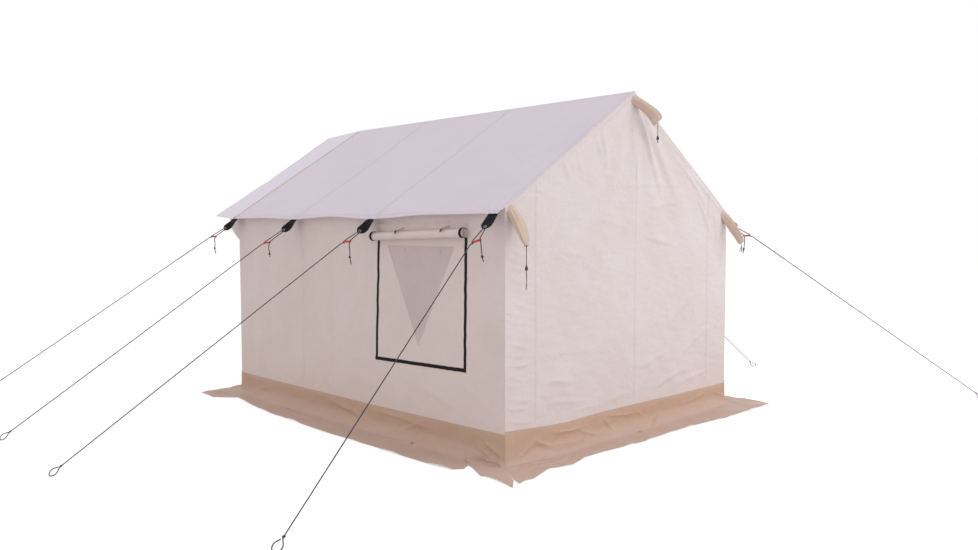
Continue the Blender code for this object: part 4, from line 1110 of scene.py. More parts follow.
def porchSurface(x, share):
    x, share = asGrids(x, share)
    across = np.abs(x) / eaveX
    reach = porch["ridgeReach"] + (porch["eaveReach"] - porch["ridgeReach"]) * across
    top = roofTop(x) + share * (porch["eaveLift"] * across - porch["ridgeDrop"] * (1 - across))
    out = gap + (reach - gap) * share
    droop = 0.010 * swell(across) * share * share
    loose = 0.0035 * ripple(x, out, 21, 6, 0.18, 0.6, 0.4, 0.5)
    loose = loose * ease(share / 0.3) * ease((1 - across) / 0.1)
    hem = 0.0009 * ((1 - share) * reach < porch["hem"])
    lift = loose + hem - droop
    return stacked(x + np.sign(x) * lift * roofSin, halfLength + out, top + lift * roofCos)


def buildPorch():
    shares = np.unique(np.concatenate([np.linspace(0, 1, 26), [0.958, 0.9585]]).round(5))
    xx, ss = grid(gridLines(-eaveX, eaveX, 0.018, (0.0,), 0.002), shares)
    mesh = sheetMesh("porch", porchSurface(xx, ss), stacked(xx / roofCos, ss * 0.4), (0, 0, 1), canvas)
    addSheet(
        "porchOverhang", mesh, "porch",
        "porch_overhang",
    )
    run = np.linspace(-eaveX + 0.01, eaveX - 0.01, 220)
    rows = [porchSurface(run, share) + np.array([0, 0, 0.0006]) for share in (0.02, 0.955, 0.985)]
    addStitches("porchStitches", rows, "seam", 4)


gusset = {"reach": 0.155, "height": 0.205, "edge": 0.105, "belly": 0.012, "slack": 0.0015}


# A gusset fills the corner between each side wall's front edge and the porch's eave.
def buildGussets():
    along, up = grid(np.linspace(0, 1, 16), np.linspace(0, 1, 16))
    y = halfLength + gap + (gusset["reach"] - gap) * along
    under = porchSurface(halfWidth, (y - halfLength) / 0.295)[..., 2] - canvas - gusset["slack"]
    narrows = gusset["height"] - gusset["edge"] + under[-1:] - under[:1]
    foot = under[:1] - gusset["height"] + narrows * along - gusset["belly"] * 4 * along * (1 - along)
    z = foot + (under - foot) * up
    sink = 0.0016 * (1 + ripple(y, z, 26, 6, 0.05, 0.20, 0.5, 0.5)) * swell(up) * swell(along)
    stitches = []
    for side, key in bothSides:
        points = stacked(side * (halfWidth - 0.0004 - sink), y, z)
        mesh = sheetMesh("gusset", points, stacked(y, z), (side, 0, 0), canvas * 0.9)
        addSheet("porchGusset_" + key, mesh, "seam", "porch_gusset_" + key)
        stitches.append(points[:, 1] + np.array([side * 0.0004, 0, 0]))
    addStitches("gussetStitches", stitches, "edge", 5)


buildRoof()
buildPorch()
buildGussets()
print("roof and porch made")

# side walls
sideWall = {
    "foldDepth": 0.012,
    "foldMargin": 0.22,
    "foldPitch": 0.30,
    "floorClearance": 0.003,
    "seams": (0.57,),
    "seamProud": 0.0004,
    "skirtBand": 0.184,
    "mostLift": 0.0105,
    # from y, z to y, z, then width, height and bow
    "creases": (
        (-1.46, 1.36, -1.30, 1.02, 0.018, 0.0060, 0.01), (-1.47, 1.12, -1.36, 0.62, 0.020, 0.0045, 0.01),
        (-1.40, 0.30, -0.92, 0.52, 0.024, 0.0040, 0.02), (-1.20, 0.22, -0.55, 0.40, 0.026, 0.0045, 0.03),
        (-0.50, 0.25, 0.05, 0.36, 0.030, 0.0035, 0.02), (-1.28, 1.42, -1.05, 1.36, 0.016, 0.0035, 0.00),
        (0.61, 1.43, 0.50, 0.93, 0.014, 0.0105, 0.012), (0.55, 1.40, 0.60, 1.00, 0.010, 0.0075, -0.010),
        (1.40, 1.38, 1.30, 0.80, 0.028, 0.0050, 0.02), (1.46, 0.90, 1.20, 0.30, 0.024, 0.0045, 0.02),
    ),
}
window = {
    "centreY": -0.2545 * tent["roomLength"],
    "netWidth": 0.630,
    "netTop": 1.250,
    "netApex": 0.623,
    "netLap": 0.015,
    "apexAside": 0.013,
    "cornerAside": 0.014,
    "tabs": (-0.636, -0.978),
    "tabWidth": 0.010,
    "tabTop": 1.238,
    "tabLength": 0.036,
    "tapeSpan": 0.882,
    "tapeTop": 1.305,
    "tapeBottom": 0.494,
    "tapeWidth": 0.0225,
    "tapeThick": 0.0015,
    # how far the frame's corners lie from a true rectangle's, along Y and up
    "tapeNearFoot": (0.014, 0.011),
    "tapeFarFoot": (0.018, -0.009),
    "tapeFarTop": (-0.018, -0.016),
    "rollLength": 0.892,
    "rollRadius": 0.030,
    "rollCore": 0.0075,
    "rollTurns": 3.25,
    "rollThick": 0.0024,
    "rollHeight": 1.322,
    "rollOffset": -0.006,
    "rollTilt": -0.029,
    "flapTop": 1.392,
    "flapWidth": 0.872,
    "flapHem": 0.012,
    "strapWidth": 0.014,
    "strapTop": 1.402,
    "toggleSpan": 0.436,
    "toggleOffset": -0.055,
    "toggleLength": 0.025,
    "toggleRadius": 0.0045,
    "toggleAngle": math.radians(30),
    "loopRadius": 0.0011,
}
rollY, rollZ = window["centreY"] + window["rollOffset"], window["rollHeight"]
rollX = halfWidth + gap + canvas + gap + window["rollRadius"]


def sideSurface(side, y, z):
    y, z = asGrids(y, z)
    margin, band = sideWall["foldMargin"], sideWall["skirtBand"]
    legs = np.minimum(ease((halfLength - y) / margin), ease(y / margin))
    rows = ease((z - band) / margin) * ease((wallTop - z) / margin)
    inward = sideWall["foldDepth"] * legs * rows * swell(y / sideWall["foldPitch"] % 1.0)
    near = ease((z - band) / 0.05) * ease((wallTop - z) / 0.03) * ease((halfLength - np.abs(y)) / 0.03)
    clear = 1.0
    if side < 0:
        clear = 1 - ease((0.52 - np.abs(y - window["centreY"] - 0.01)) / 0.05) * ease((z - 0.42) / 0.05)
    lift = creased(y, z, sideWall["creases"])
    lift = (lift + 0.0022 * ripple(y, z, 31 if side < 0 else 32, 7, 0.16, 0.55, 0.25, 0.5)) * near * clear
    lift = lift + seamProud(y, sideWall["seams"], 0.007, sideWall["seamProud"]) * (z > 0.21) * clear
    return stacked(side * (halfWidth - inward + np.minimum(lift, sideWall["mostLift"])), y, z)


def windowOutline(lap):
    half, top = window["netWidth"] / 2 + lap, window["netTop"] + lap
    apex = (window["centreY"] + window["apexAside"], window["netApex"] - lap)
    return [(window["centreY"] - half - window["cornerAside"], top), apex, (window["centreY"] + half, top)]


# Places between two points, at the given shares of the way.
def between(a, b, shares):
    return np.array([(a[0] + (b[0] - a[0]) * t, a[1] + (b[1] - a[1]) * t) for t in shares])


def buildSideWalls():
    y = gridLines(-halfLength, halfLength, 0.018, sideWall["seams"])
    yy, zz = grid(y, gridLines(sideWall["floorClearance"], wallTop, 0.018))
    up = np.linspace(0.21, wallTop - 0.01, 80)
    stitches = []
    for side, key in bothSides:
        mesh = sheetMesh("side", sideSurface(side, yy, zz), stacked(yy, zz), (side, 0, 0), canvas)
        if side < 0:
            mesh = cutOut(mesh, windowOutline(0.0), "x", -halfWidth)
        name, rests = "sideWall" + key.title(), ["eave_pole_" + key]
        addSheet(name, mesh, "sideWall", "side_wall_" + key)
        for row in [seam + shift for seam in sideWall["seams"] for shift in seamRows]:
            stitches.append(sideSurface(side, row, up) + np.array([side * 0.0003, 0, 0]))
    hem = windowOutline(0.008)
    for a, b in zip(hem, hem[1:] + hem[:1]):
        run = between(a, b, np.linspace(0.02, 0.98, 50))
        stitches.append(stacked(-halfWidth - 0.0004, run[:, 0], run[:, 1]))
    addStitches("sideStitches", stitches, "seam", 6)


# window: net, hook tape, storm flap, its roll and ties
def buildNet():
    deep = -halfWidth + canvas + gap
    a, b, c = (np.array(point) for point in windowOutline(window["netLap"]))
    u, v = grid(np.linspace(0, 1, 48), np.linspace(0.0, 1, 48))
    place = (a * (1 - u)[..., None] + c * u[..., None]) * (1 - v)[..., None] + b * v[..., None]
    sink = 0.0035 * ripple(place[..., 0], place[..., 1], 44, 5, 0.2, 0.5, 0.2, 0.6) * swell(u) * (1 - v)
    points = stacked(deep + np.abs(sink), place[..., 0], place[..., 1])
    net = reworked(sheetMesh("net", points, place, (-1, 0, 0), 0.001))
    addSheet("windowNet", net, "net", "window_mesh")
    wide, long, meshes = window["tabWidth"], window["tabLength"], []
    for place in window["tabs"]:
        z, w = grid(np.linspace(0, 1, 14), np.linspace(-0.5, 0.5, 4))
        tab = stacked(deep - 0.0004 - 0.0012 * z * z, place + wide * w, window["tabTop"] - long * z)
        meshes.append(sheetMesh("tab", tab, stacked(z * long, w * wide), (-1, 0, 0), 0.0008))
    addSheet("windowTabs", joined("windowTabs", meshes), "tab")


def buildTape():
    half, wide, thick = window["tapeSpan"] / 2, window["tapeWidth"], window["tapeThick"]
    low, high = window["centreY"] - half + wide / 2, window["centreY"] + half - wide / 2
    bottom, top = window["tapeBottom"] + wide / 2, window["tapeTop"]
    nearFoot = np.array([low, bottom]) + window["tapeNearFoot"]
    farFoot = np.array([high, bottom]) + window["tapeFarFoot"]
    farTop = np.array([high, top]) + window["tapeFarTop"]
    sideways, down = np.array([wide / 2, 0]), np.array([0, wide / 2])
    bars = (
        (nearFoot - down, np.array([low, top]), 0.0042, 0.0), (farFoot - down, farTop, 0.0042, 0.0),
        (nearFoot - sideways, farFoot + sideways, 0.0018, 0.0008),
    )
    meshes, stitches = [], []
    for number, (a, b, wanders, proud) in enumerate(bars):
        long = np.linalg.norm(b - a)
        along = (b - a) / long
        across = np.array([along[1], -along[0]])
        t = np.linspace(0, 1, 70)
        wander = wanders * ripple(t * long, 0 * t, 50 + number, 6, 0.05, 0.30, 0.0, 0.1)
        wander = wander * ease(t / 0.04) * ease((1 - t) / 0.04)
        tt, ww = grid(t, np.array([-0.5, -0.42, 0.0, 0.42, 0.5]) * wide)
        place = a + along * (tt * long)[..., None] + across * (ww + wander[:, None])[..., None]
        rough = 0.0007 * np.abs(ripple(tt * long, ww, 60 + number, 5, 0.05, 0.16, 0.0, 0.2))
        lift = thick - 0.0006 * (np.abs(ww) > 0.45 * wide) + rough + proud
        points = stacked(-halfWidth - gap - lift, place[..., 0], place[..., 1])
        meshes.append(sheetMesh("tape", points, stacked(tt * long, ww), (-1, 0, 0), thick))
        stitches += [points[:, edge] + np.array([-0.0003, 0, 0]) for edge in (1, 3)]
    tape = joined("hookTape", meshes)
    addSheet("hookTape", tape, "tape", "window_tape")
    addStitches("tapeStitches", stitches, "tape", 8, "blackThread")


# The header comes down from its seam and turns in behind the roll.
def buildHeader():
    top, wide, hem = window["flapTop"], window["flapWidth"], window["flapHem"]
    z = np.unique(np.concatenate([np.linspace(rollZ, top, 24), [top - hem]]))
    yy, zz = grid(gridLines(rollY - wide / 2, rollY + wide / 2, 0.014), z)
    bulge = 0.0045 * np.abs(ripple(yy, zz, 71, 5, 0.10, 0.32, 0.1, 0.3))
    bulge = bulge * ease((top - hem - zz) / 0.02) * ease((zz - rollZ - hem) / 0.01)
    fold = 0.0008 * (zz > top - hem - 0.0005)
    points = stacked(-halfWidth - gap - canvas - bulge - fold, yy, zz)
    mesh = sheetMesh("flap", points, stacked(yy, zz), (-1, 0, 0), canvas)
    flap = addPiece("stormFlapHeader", mesh, "sideWall", "storm_flap_sheet", None)
    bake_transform(flap)
    rows = [points[:, -1] + np.array([-0.0004, 0, -shift]) for shift in (0.003, 0.010)]
    addStitches("flapStitches", rows, "edge", 9)


# The roll: one band wound from its back, under and up the front, in a spiral.
def buildRoll():
    turns, half, core = window["rollTurns"], window["rollLength"] / 2, window["rollCore"]
    t = np.linspace(0, 1, 110)
    angle = math.pi + 2 * math.pi * turns * t
    radius = (window["rollRadius"] - 0.0008) * (1 - t) + core * t
    tt, ll = grid(t, gridLines(-half, half, 0.02))
    ties = [window["toggleOffset"] + side * window["toggleSpan"] / 2 for side in (-1, 1)]
    squeeze = sum(np.exp(-(((ll - tie) / 0.035) ** 2)) for tie in ties)
    lump = 0.0011 * ripple(ll, tt * 0.6, 81, 6, 0.12, 0.5, 0.0, 0.4) - 0.0022 * squeeze
    rr = radius[:, None] + np.minimum(lump, 0.0008) * (1 - tt)
    ends = 0.004 * ripple(tt * 0.5, 0 * tt, 82, 4, 0.08, 0.3, 0.0, 0.1)
    ends = ends * ease((np.abs(ll) - half + 0.05) / 0.05)
    x, z = -rollX - rr * np.cos(angle)[:, None], rr * np.sin(angle)[:, None]
    points = stacked(x, rollY + ll - np.abs(ends) * np.sign(ll), rollZ + window["rollTilt"] * ll + z)
    long = 2 * math.pi * turns * (window["rollRadius"] + core) / 2
    mesh = turnedOut(sheetMesh("roll", points, stacked(ll, tt * long), (0, 0, 0), window["rollThick"]))
    addSheet(
        "stormFlapRoll", mesh, "sideWall",
        "storm_flap_roll", body="storm_roll",
    )
    # loop tape sewn to the flap's sides shows as a dark band near each end of the roll
    meshes = []
    for place in (-half + 0.014, half - 0.014):
        aa, ww = grid(np.radians(np.linspace(206, 500, 60)), np.array([-0.010, -0.0085, 0.0085, 0.010]))
        radius = window["rollRadius"] + 0.0006 - 0.0006 * (np.abs(ww) > 0.009)
        z = rollZ + window["rollTilt"] * (place + ww) + radius * np.sin(aa)
        ring = stacked(-rollX - radius * np.cos(aa), rollY + place + ww, z)
        meshes.append(turnedOut(sheetMesh("band", ring, stacked(aa * 0.03, ww), (0, 0, 0), 0.0013)))
    bands = joined("rollTape", meshes)
    addSheet("rollTape", bands, "tape", body="storm_roll")


# A place off the roll's middle, at an angle up from straight out.
def offRoll(distance, angle, y, high):
    return np.array([-rollX - distance * math.cos(angle), y, high + distance * math.sin(angle)])


# A strap of canvas from the wall over the roll, with a toggle on its end held in a cord loop.
def buildTie(key, along):
    near, back = window["rollRadius"] + gap, halfWidth + gap + canvas + gap
    y = rollY + window["toggleOffset"] + along
    high = rollZ + window["rollTilt"] * (y - rollY)
    wall = -back - 0.0015
    line = [(wall, 0, window["strapTop"]), (wall, 0, (window["flapTop"] + high) / 2 + 0.002)]
    for a in np.radians(np.linspace(72, 150, 12)):
        line.append((-rollX + (near + 0.0014) * math.cos(a), 0, high + (near + 0.0014) * math.sin(a)))
    path = smoothLine(line, 60)
    width = np.array([-0.5, -0.4, 0.4, 0.5]) * window["strapWidth"]
    flat = stacked(np.linspace(0, 0.11, 60)[:, None], width)
    points = stacked(path[:, None, 0], y + width, path[:, None, 2])
    strap, rests = turnedOut(sheetMesh("strap", points, flat, (-1, 0, 0.6), 0.0013)), ["storm_flap_roll"]
    addSheet("flapTie_" + key, strap, "sideWall", "storm_flap_tie_" + key)

    long, thick, upward = window["toggleLength"] / 2, window["toggleRadius"], window["toggleAngle"]
    profile = [(0, long), (0.5 * thick, long - 0.0004), (0.78 * thick, long - 0.002), (0.9 * thick, long / 2)]
    profile += [(0.98 * thick, 0.004), (0.72 * thick, 0.0025), (0.72 * thick, 0)]
    profile += [(r, -z) for r, z in profile[-2::-1]]
    waist = offRoll(near + thick + 0.0024, upward, y, high)
    lean = Matrix.Rotation(math.radians(16 if along < 0 else -12), 4, "X")
    seat = Matrix.Translation(waist) @ Matrix.Rotation(upward, 4, "Y") @ lean
    addPiece("flapToggle_" + key, latheMesh("toggle", profile, 16, seat), "black")

    thin = window["loopRadius"]
    around = thick * 0.72 + thin
    root = np.array([-back - 0.004, y - 0.014, high + 0.046])
    over = offRoll(near + 0.004, math.radians(76), y - 0.010, high)
    out = np.array([-math.cos(upward), 0, math.sin(upward)])
    beside = waist + out * 0.001
    path = smoothLine([
        root + [0, 0.002, 0], over + [0, 0.003, 0], beside + [0, around, 0.006], waist + out * around,
        beside + [0, -around, 0.004], over + [0, -0.003, 0], root + [0, -0.002, 0],
    ], 60)
    cord = addPiece("toggleLoop_" + key, tubeMesh("loop", path, thin), "rope")
    declareCord(path)


buildSideWalls()
buildNet()
buildTape()
buildHeader()
buildRoll()
buildTie("rear", -window["toggleSpan"] / 2)
buildTie("front", window["toggleSpan"] / 2)
print("side walls and window made")

# gables and door
gable = {
    "seams": (-0.96, 0.03, 0.95),
    "binding": 0.034,
    "flatBelow": 0.205,
    "depth": 1.35,
    # from x, z to x, z, then width, height and bow; the first ones hang from the peak
    "creases": (
        (0.004, 2.17, 0.21, 1.79, 0.026, 0.0210, 0.004), (0.16, 1.90, 0.33, 1.58, 0.045, 0.0120, 0.006),
        (0.070, 2.18, 0.52, 1.58, 0.050, 0.0110, -0.015), (-0.03, 2.15, 0.05, 1.60, 0.030, 0.0060, 0.000),
        (-0.34, 2.00, -0.29, 1.68, 0.030, 0.0080, 0.005), (-0.42, 1.97, -0.33, 1.76, 0.020, 0.0050, 0.004),
        (-0.73, 1.77, -0.65, 1.64, 0.018, 0.0045, 0.003), (-0.60, 1.84, -0.52, 1.66, 0.018, 0.0040, 0.003),
        (0.68, 1.765, 1.155, 1.462, 0.016, 0.0060, 0.006), (0.55, 1.826, 0.95, 1.48, 0.020, 0.0075, 0.008),
        (0.785, 1.60, 0.98, 1.33, 0.018, 0.0060, 0.004), (1.02, 1.50, 1.10, 1.20, 0.018, 0.0050, 0.004),
        (-0.13, 1.63, 0.68, 1.655, 0.014, 0.0040, 0.012), (0.067, 1.467, 0.61, 1.543, 0.016, 0.0050, 0.012),
        (0.114, 1.313, 0.514, 1.243, 0.018, 0.0070, -0.012), (-0.50, 1.42, -0.05, 1.36, 0.020, 0.0035, 0.010),
        (-0.85, 1.22, -0.40, 1.17, 0.022, 0.0035, 0.010), (0.06, 0.413, 0.48, 0.486, 0.020, 0.0055, 0.010),
        (-0.32, 0.225, -0.03, 0.262, 0.016, 0.0050, 0.006), (0.244, 0.245, 0.68, 0.338, 0.018, 0.0065, 0.010),
        (0.484, 0.225, 0.95, 0.285, 0.016, 0.0060, 0.008), (0.55, 0.42, 0.98, 0.62, 0.024, 0.0055, 0.012),
        (0.30, 0.60, 0.85, 0.92, 0.030, 0.0045, 0.014), (-0.91, 0.60, -0.40, 0.58, 0.022, 0.0040, 0.012),
        (-0.89, 0.31, -0.47, 0.262, 0.020, 0.0055, 0.010), (-0.92, 0.44, -0.55, 0.40, 0.020, 0.0045, 0.010),
        (-0.63, 0.222, -0.35, 0.225, 0.014, 0.0050, 0.004),
    ),
}
door = {"width": 0.95, "height": 1.74, "floorGap": 0.012, "bulge": 0.012, "hem": 0.03, "hemProud": 0.0009}
gableEdge = halfWidth - canvas - gap
sideRoot = (halfWidth - 0.052, wallTop - 0.030 - slope * (0.038 - 0.052), 0.038)
sleeveRoots = {
    "ridge": (0.0, tent["ridgeHeight"] - 0.058, 0.034),
    "left": (-sideRoot[0], *sideRoot[1:]),
    "right": sideRoot,
}


# Smile-shaped wrinkles held between the corner and the first seam.
def cornerSmiles(x, z):
    draw = np.random.default_rng(90)
    rows = []
    for z0 in np.arange(0.27, 1.36, 0.062):
        tilt, height = draw.uniform(-0.07, 0.01), draw.uniform(0.002, 0.0062)
        width = draw.uniform(0.010, 0.018)
        start, end = draw.uniform(-1.215, -1.17), draw.uniform(-1.02, -0.95)
        rows.append((start, z0, end, z0 + tilt, width, height, draw.uniform(-0.02, -0.004)))
    return creased(x, z, rows)


def gableSurface(face, x, z):
    x, z = asGrids(x, z)
    top = roofTop(x) - canvas - gap
    near = ease((z - gable["flatBelow"]) / 0.03) * ease((top - z) / 0.035)
    near = near * ease((halfWidth - np.abs(x)) / 0.04)
    lift, seed = np.zeros_like(x), 95 if face < 0 else 96
    if face < 0:
        lift = creased(x, z, gable["creases"]) + cornerSmiles(x, z)
        fan = np.cos(np.arctan2(x, tent["ridgeHeight"] - z + 0.05) * 21.0)
        lift = lift + 0.0030 * fan * ease((tent["ridgeHeight"] - z) / 0.5) * ease((z - 0.9) / 0.6)
        for rootX, rootZ, radius in sleeveRoots.values():
            near = near * (1 - np.exp(-((np.hypot(x - rootX, z - rootZ) / (1.5 * radius)) ** 4)))
    else:
        # flat beside the doorway, where an opened flap lies close
        aside = 1 - ease((np.abs(x) - door["width"] / 2 - 0.02) / 0.08)
        near = near * (1 - ease((door["height"] + 0.05 - z) / 0.05) * aside)
    lift = lift + 0.0034 * ripple(x, z, seed, 9, 0.10, 0.50, 1.2, 0.7)
    lift = lift + 0.0016 * ripple(x, z, seed + 2, 8, 0.045, 0.12, 1.45, 0.25) * ease((x + 1.25) / 0.2)
    lift = lift * gable["depth"] * near + seamProud(x, gable["seams"]) * (z > 0.21)
    return stacked(x, face * (halfLength + lift), z)


def gablePanel(face, step, bottom=0.003):
    x = gridLines(-gableEdge, gableEdge, step, gable["seams"])
    xx, vv = grid(x, np.linspace(0, 1, round((tent["ridgeHeight"] - bottom) / step * 0.86)))
    zz = bottom + (roofTop(xx) - canvas - gap - bottom) * vv
    return sheetMesh("gable", gableSurface(face, xx, zz), stacked(xx, zz), (0, face, 0), canvas)


def bindingMesh(face):
    wide, halves = gable["binding"], []
    for side in (-1, 1):
        down = np.array([0.0035, 0.006, 0.020, wide - 0.003, wide])
        xx, dd = grid(np.linspace(0.0, gableEdge - 0.001, 110), down)
        z = roofTop(xx) - canvas - dd / roofCos
        lift = 0.0021 + 0.0005 * np.abs(ripple(xx * side, dd, 101 + side, 6, 0.04, 0.12, 0.0, 0.3))
        lift = lift - 0.0007 * ((dd < 0.004) | (dd > wide - 0.002))
        points = stacked(side * xx, face * (halfLength + lift), z)
        halves.append(sheetMesh("binding", points, stacked(xx / roofCos, dd), (0, face, 0), 0.0018))
    return joined("binding", halves)


def doorSurface(side, u, v):
    u, v = asGrids(u, v)
    hinge = door["width"] / 2
    wide = hinge - 1.5 * gap
    z = door["floorGap"] + (door["height"] - door["floorGap"]) * v
    x = hinge - gap - wide * u
    inner = ease(u / 0.15) * ease((1 - u) / 0.1) * ease(v / 0.06) * ease((1 - v) / 0.06)
    loose = 0.003 * ripple(x, z, 111 + side, 7, 0.12, 0.45, 0.2, 0.5) * inner
    out = door["bulge"] * swell(v) * swell(2 * u % 1.0) * ease(u) + loose
    hem = door["hemProud"] * ((u > 1 - door["hem"] / wide) | (v < door["hem"] / door["height"]))
    return stacked(side * x, halfLength + out * inner + hem - door["hemProud"], z)


# Rows of stitches on one gable: along its binding and down both edges of each seam.
def gableRows(face):
    rows, x = [], np.linspace(0.01, gableEdge - 0.01, 140)
    for side in (-1, 1):
        for down in (0.007, gable["binding"] - 0.004):
            rows.append(stacked(side * x, face * (halfLength + 0.0036), roofTop(x) - canvas - down / roofCos))
    for seam in gable["seams"]:
        overDoor, underSleeve = face > 0 and abs(seam) < door["width"] / 2, face < 0 and abs(seam) < 0.1
        low = door["height"] + 0.01 if overDoor else 0.21
        top = sleeveRoots["ridge"][1] if underSleeve else roofTop(seam)
        z = np.linspace(low, top - 0.05, 110)
        rows += [gableSurface(face, seam + shift, z) + np.array([0, face * 0.0003, 0]) for shift in seamRows]
    return rows


def buildGables():
    half, high = door["width"] / 2, door["height"]
    rear = gablePanel(-1, 0.0125)
    for x, z, radius in sleeveRoots.values():
        turn = np.linspace(0, 2 * np.pi, 21)[:-1]
        ring = [(x + 0.75 * radius * math.cos(a), z + 0.75 * radius * math.sin(a)) for a in turn]
        rear = cutOut(rear, ring, "y", -halfLength)
    addSheet("rearWall", rear, "wall", "rear_wall")
    opening = [(-half, -0.2), (half, -0.2), (half, high + gap), (-half, high + gap)]
    front = cutOut(gablePanel(1, 0.02), opening, "y", halfLength)
    addSheet("frontWall", front, "wall", "front_wall")
    stitches = []
    for face, name in ((-1, "rear"), (1, "front")):
        addSheet(name + "Binding", bindingMesh(face), "seam")
        stitches += gableRows(face)
    out, top = half + 0.008, high + 0.008
    around = [(-out, 0.01), (-out, top), (out, top), (out, 0.01)]
    for a, b in zip(around, around[1:]):
        run = between(a, b, np.linspace(0, 1, 60))
        stitches.append(gableSurface(1, run[:, 0], run[:, 1]) + np.array([0, 0.0005, 0]))
    addStitches("gableStitches", stitches, "seam", 10)
    u, v = grid(np.linspace(0, 1, 34), np.linspace(0, 1, 100))
    for side, key in bothSides:
        points = doorSurface(side, u, v)
        mesh = sheetMesh("doorFlap", points, points[..., [0, 2]], (0, 1, 0), canvas)
        node, rests, body = "door_flap_" + key, ["front_wall"], "door_" + key
        addSheet("doorFlap_" + key, mesh, "wall", node, body=body)
        rows = []
        for shift in (0.006, door["hem"] - 0.004):
            rows.append(doorSurface(side, 1 - shift / 0.4745, np.linspace(0.004, 0.996, 110)))
            rows.append(doorSurface(side, np.linspace(0.01, 0.99, 50), shift / door["height"]))
        rows = [row + np.array([0, 0.0004, 0]) for row in rows]
        addStitches("doorStitches_" + key, rows, "seam", 12, body=body)


# skirt: a band on the wall that turns out on the ground, with wrinkles and grommets
skirt = {
    "band": 0.184,
    "reach": 0.245,
    "bend": 0.034,
    "softBend": 0.085,
    "softRun": 0.35,
    "slit": 0.07,
    # from one place to another along the run and down the cloth from the band's top edge, then
    # width, height and bow
    "rearCreases": (
        (-0.98, 0.066, -0.80, 0.146, 0.015, 0.0150, 0.006), (-0.86, 0.135, -0.52, 0.160, 0.017, 0.0210, 0.012),
        (-0.60, 0.165, -0.44, 0.120, 0.013, 0.0110, 0.004), (-0.56, 0.080, -0.36, 0.145, 0.014, 0.0150, 0.010),
        (-0.42, 0.140, -0.18, 0.148, 0.012, 0.0090, 0.004), (-0.33, 0.022, -0.21, 0.150, 0.011, 0.0100, 0.004),
        (-0.33, 0.024, 0.09, 0.066, 0.011, 0.0090, 0.008), (0.13, 0.205, 0.32, 0.090, 0.014, 0.0120, 0.010),
        (-1.16, 0.172, -0.95, 0.060, 0.011, 0.0120, 0.000), (-0.82, 0.046, -0.50, 0.062, 0.013, 0.0110, 0.008),
        (-1.20, 0.190, -0.84, 0.238, 0.014, 0.0100, 0.006), (0.01, 0.020, 0.14, 0.110, 0.012, 0.0060, 0.004),
        (0.45, 0.140, 1.16, 0.134, 0.020, 0.0070, 0.008), (0.60, 0.090, 0.98, 0.040, 0.016, 0.0060, 0.008),
        (1.02, 0.030, 1.20, 0.120, 0.014, 0.0065, 0.004), (-1.12, 0.240, -0.80, 0.290, 0.020, 0.0080, 0.010),
        (0.75, 0.230, 1.15, 0.200, 0.022, 0.0060, 0.008),
    ),
    "leftCreases": (
        (-1.18, 0.180, -1.53, 0.172, 0.014, 0.0200, 0.006), (-1.36, 0.072, -1.52, 0.140, 0.013, 0.0140, 0.004),
        (-1.16, 0.205, -1.40, 0.232, 0.013, 0.0150, 0.006), (-1.30, 0.110, -1.50, 0.185, 0.012, 0.0110, 0.004),
        (0.22, 0.056, -0.28, 0.142, 0.017, 0.0110, 0.008), (0.00, 0.066, -0.14, 0.094, 0.014, 0.0100, 0.002),
        (-0.28, 0.042, -0.90, 0.076, 0.014, 0.0070, 0.008), (-0.52, 0.190, -0.84, 0.020, 0.017, 0.0070, 0.006),
        (-0.72, 0.072, -0.75, 0.155, 0.012, 0.0065, 0.004), (-0.34, 0.262, -1.12, 0.172, 0.018, 0.0080, 0.010),
        (1.00, 0.050, 1.40, 0.140, 0.022, 0.0055, 0.008), (0.40, 0.080, 0.72, 0.150, 0.020, 0.0045, 0.008),
        (0.20, 0.230, 0.65, 0.260, 0.022, 0.0050, 0.008), (1.40, 0.270, 1.53, 0.380, 0.018, 0.0160, 0.006),
        (1.45, 0.210, 1.53, 0.260, 0.014, 0.0120, 0.000),
    ),
    # along the run and out from the wall: the cloth's outer edge
    "rearEdge": (
        (-1.450, 0.250), (-1.389, 0.272), (-1.345, 0.250), (-1.323, 0.244), (-1.261, 0.258), (-1.180, 0.226),
        (-1.076, 0.192), (-0.980, 0.220), (-0.909, 0.236), (-0.820, 0.212), (-0.730, 0.191), (-0.549, 0.194),
        (-0.195, 0.228), (0.036, 0.218), (0.260, 0.216), (0.496, 0.227), (0.776, 0.261), (1.360, 0.258),
    ),
    "leftEdge": (
        (-1.810, 0.230), (-1.700, 0.206), (-1.604, 0.198), (-1.570, 0.213), (-1.510, 0.165), (-1.440, 0.112),
        (-1.425, 0.180), (-1.350, 0.240), (-1.200, 0.258), (-0.866, 0.264), (-0.632, 0.257), (-0.349, 0.259),
        (-0.077, 0.267), (0.352, 0.241), (0.709, 0.231), (1.065, 0.187), (1.435, 0.127), (1.453, 0.194),
        (1.489, 0.262), (1.760, 0.250),
    ),
    # along the run and how far the band's top edge lies over its mean height
    "rearTop": (
        (-1.22, 0.020), (-0.95, 0.0), (-0.69, -0.015), (-0.40, -0.008), (0.01, -0.010), (0.48, -0.019),
        (1.22, -0.023),
    ),
    "leftTop": ((-1.525, 0.001), (-1.02, -0.006), (-0.18, -0.014), (0.885, -0.016), (1.525, -0.015)),
    # along the run and down the cloth
    "grommets": {
        "rear": ((-0.02, 0.222),), "left": ((-0.725, 0.208), (0.665, 0.218)),
        "right": ((-0.75, 0.20), (0.77, 0.20)),
    },
    "grommetRadius": 0.0070,
    "grommetWire": 0.0020,
}


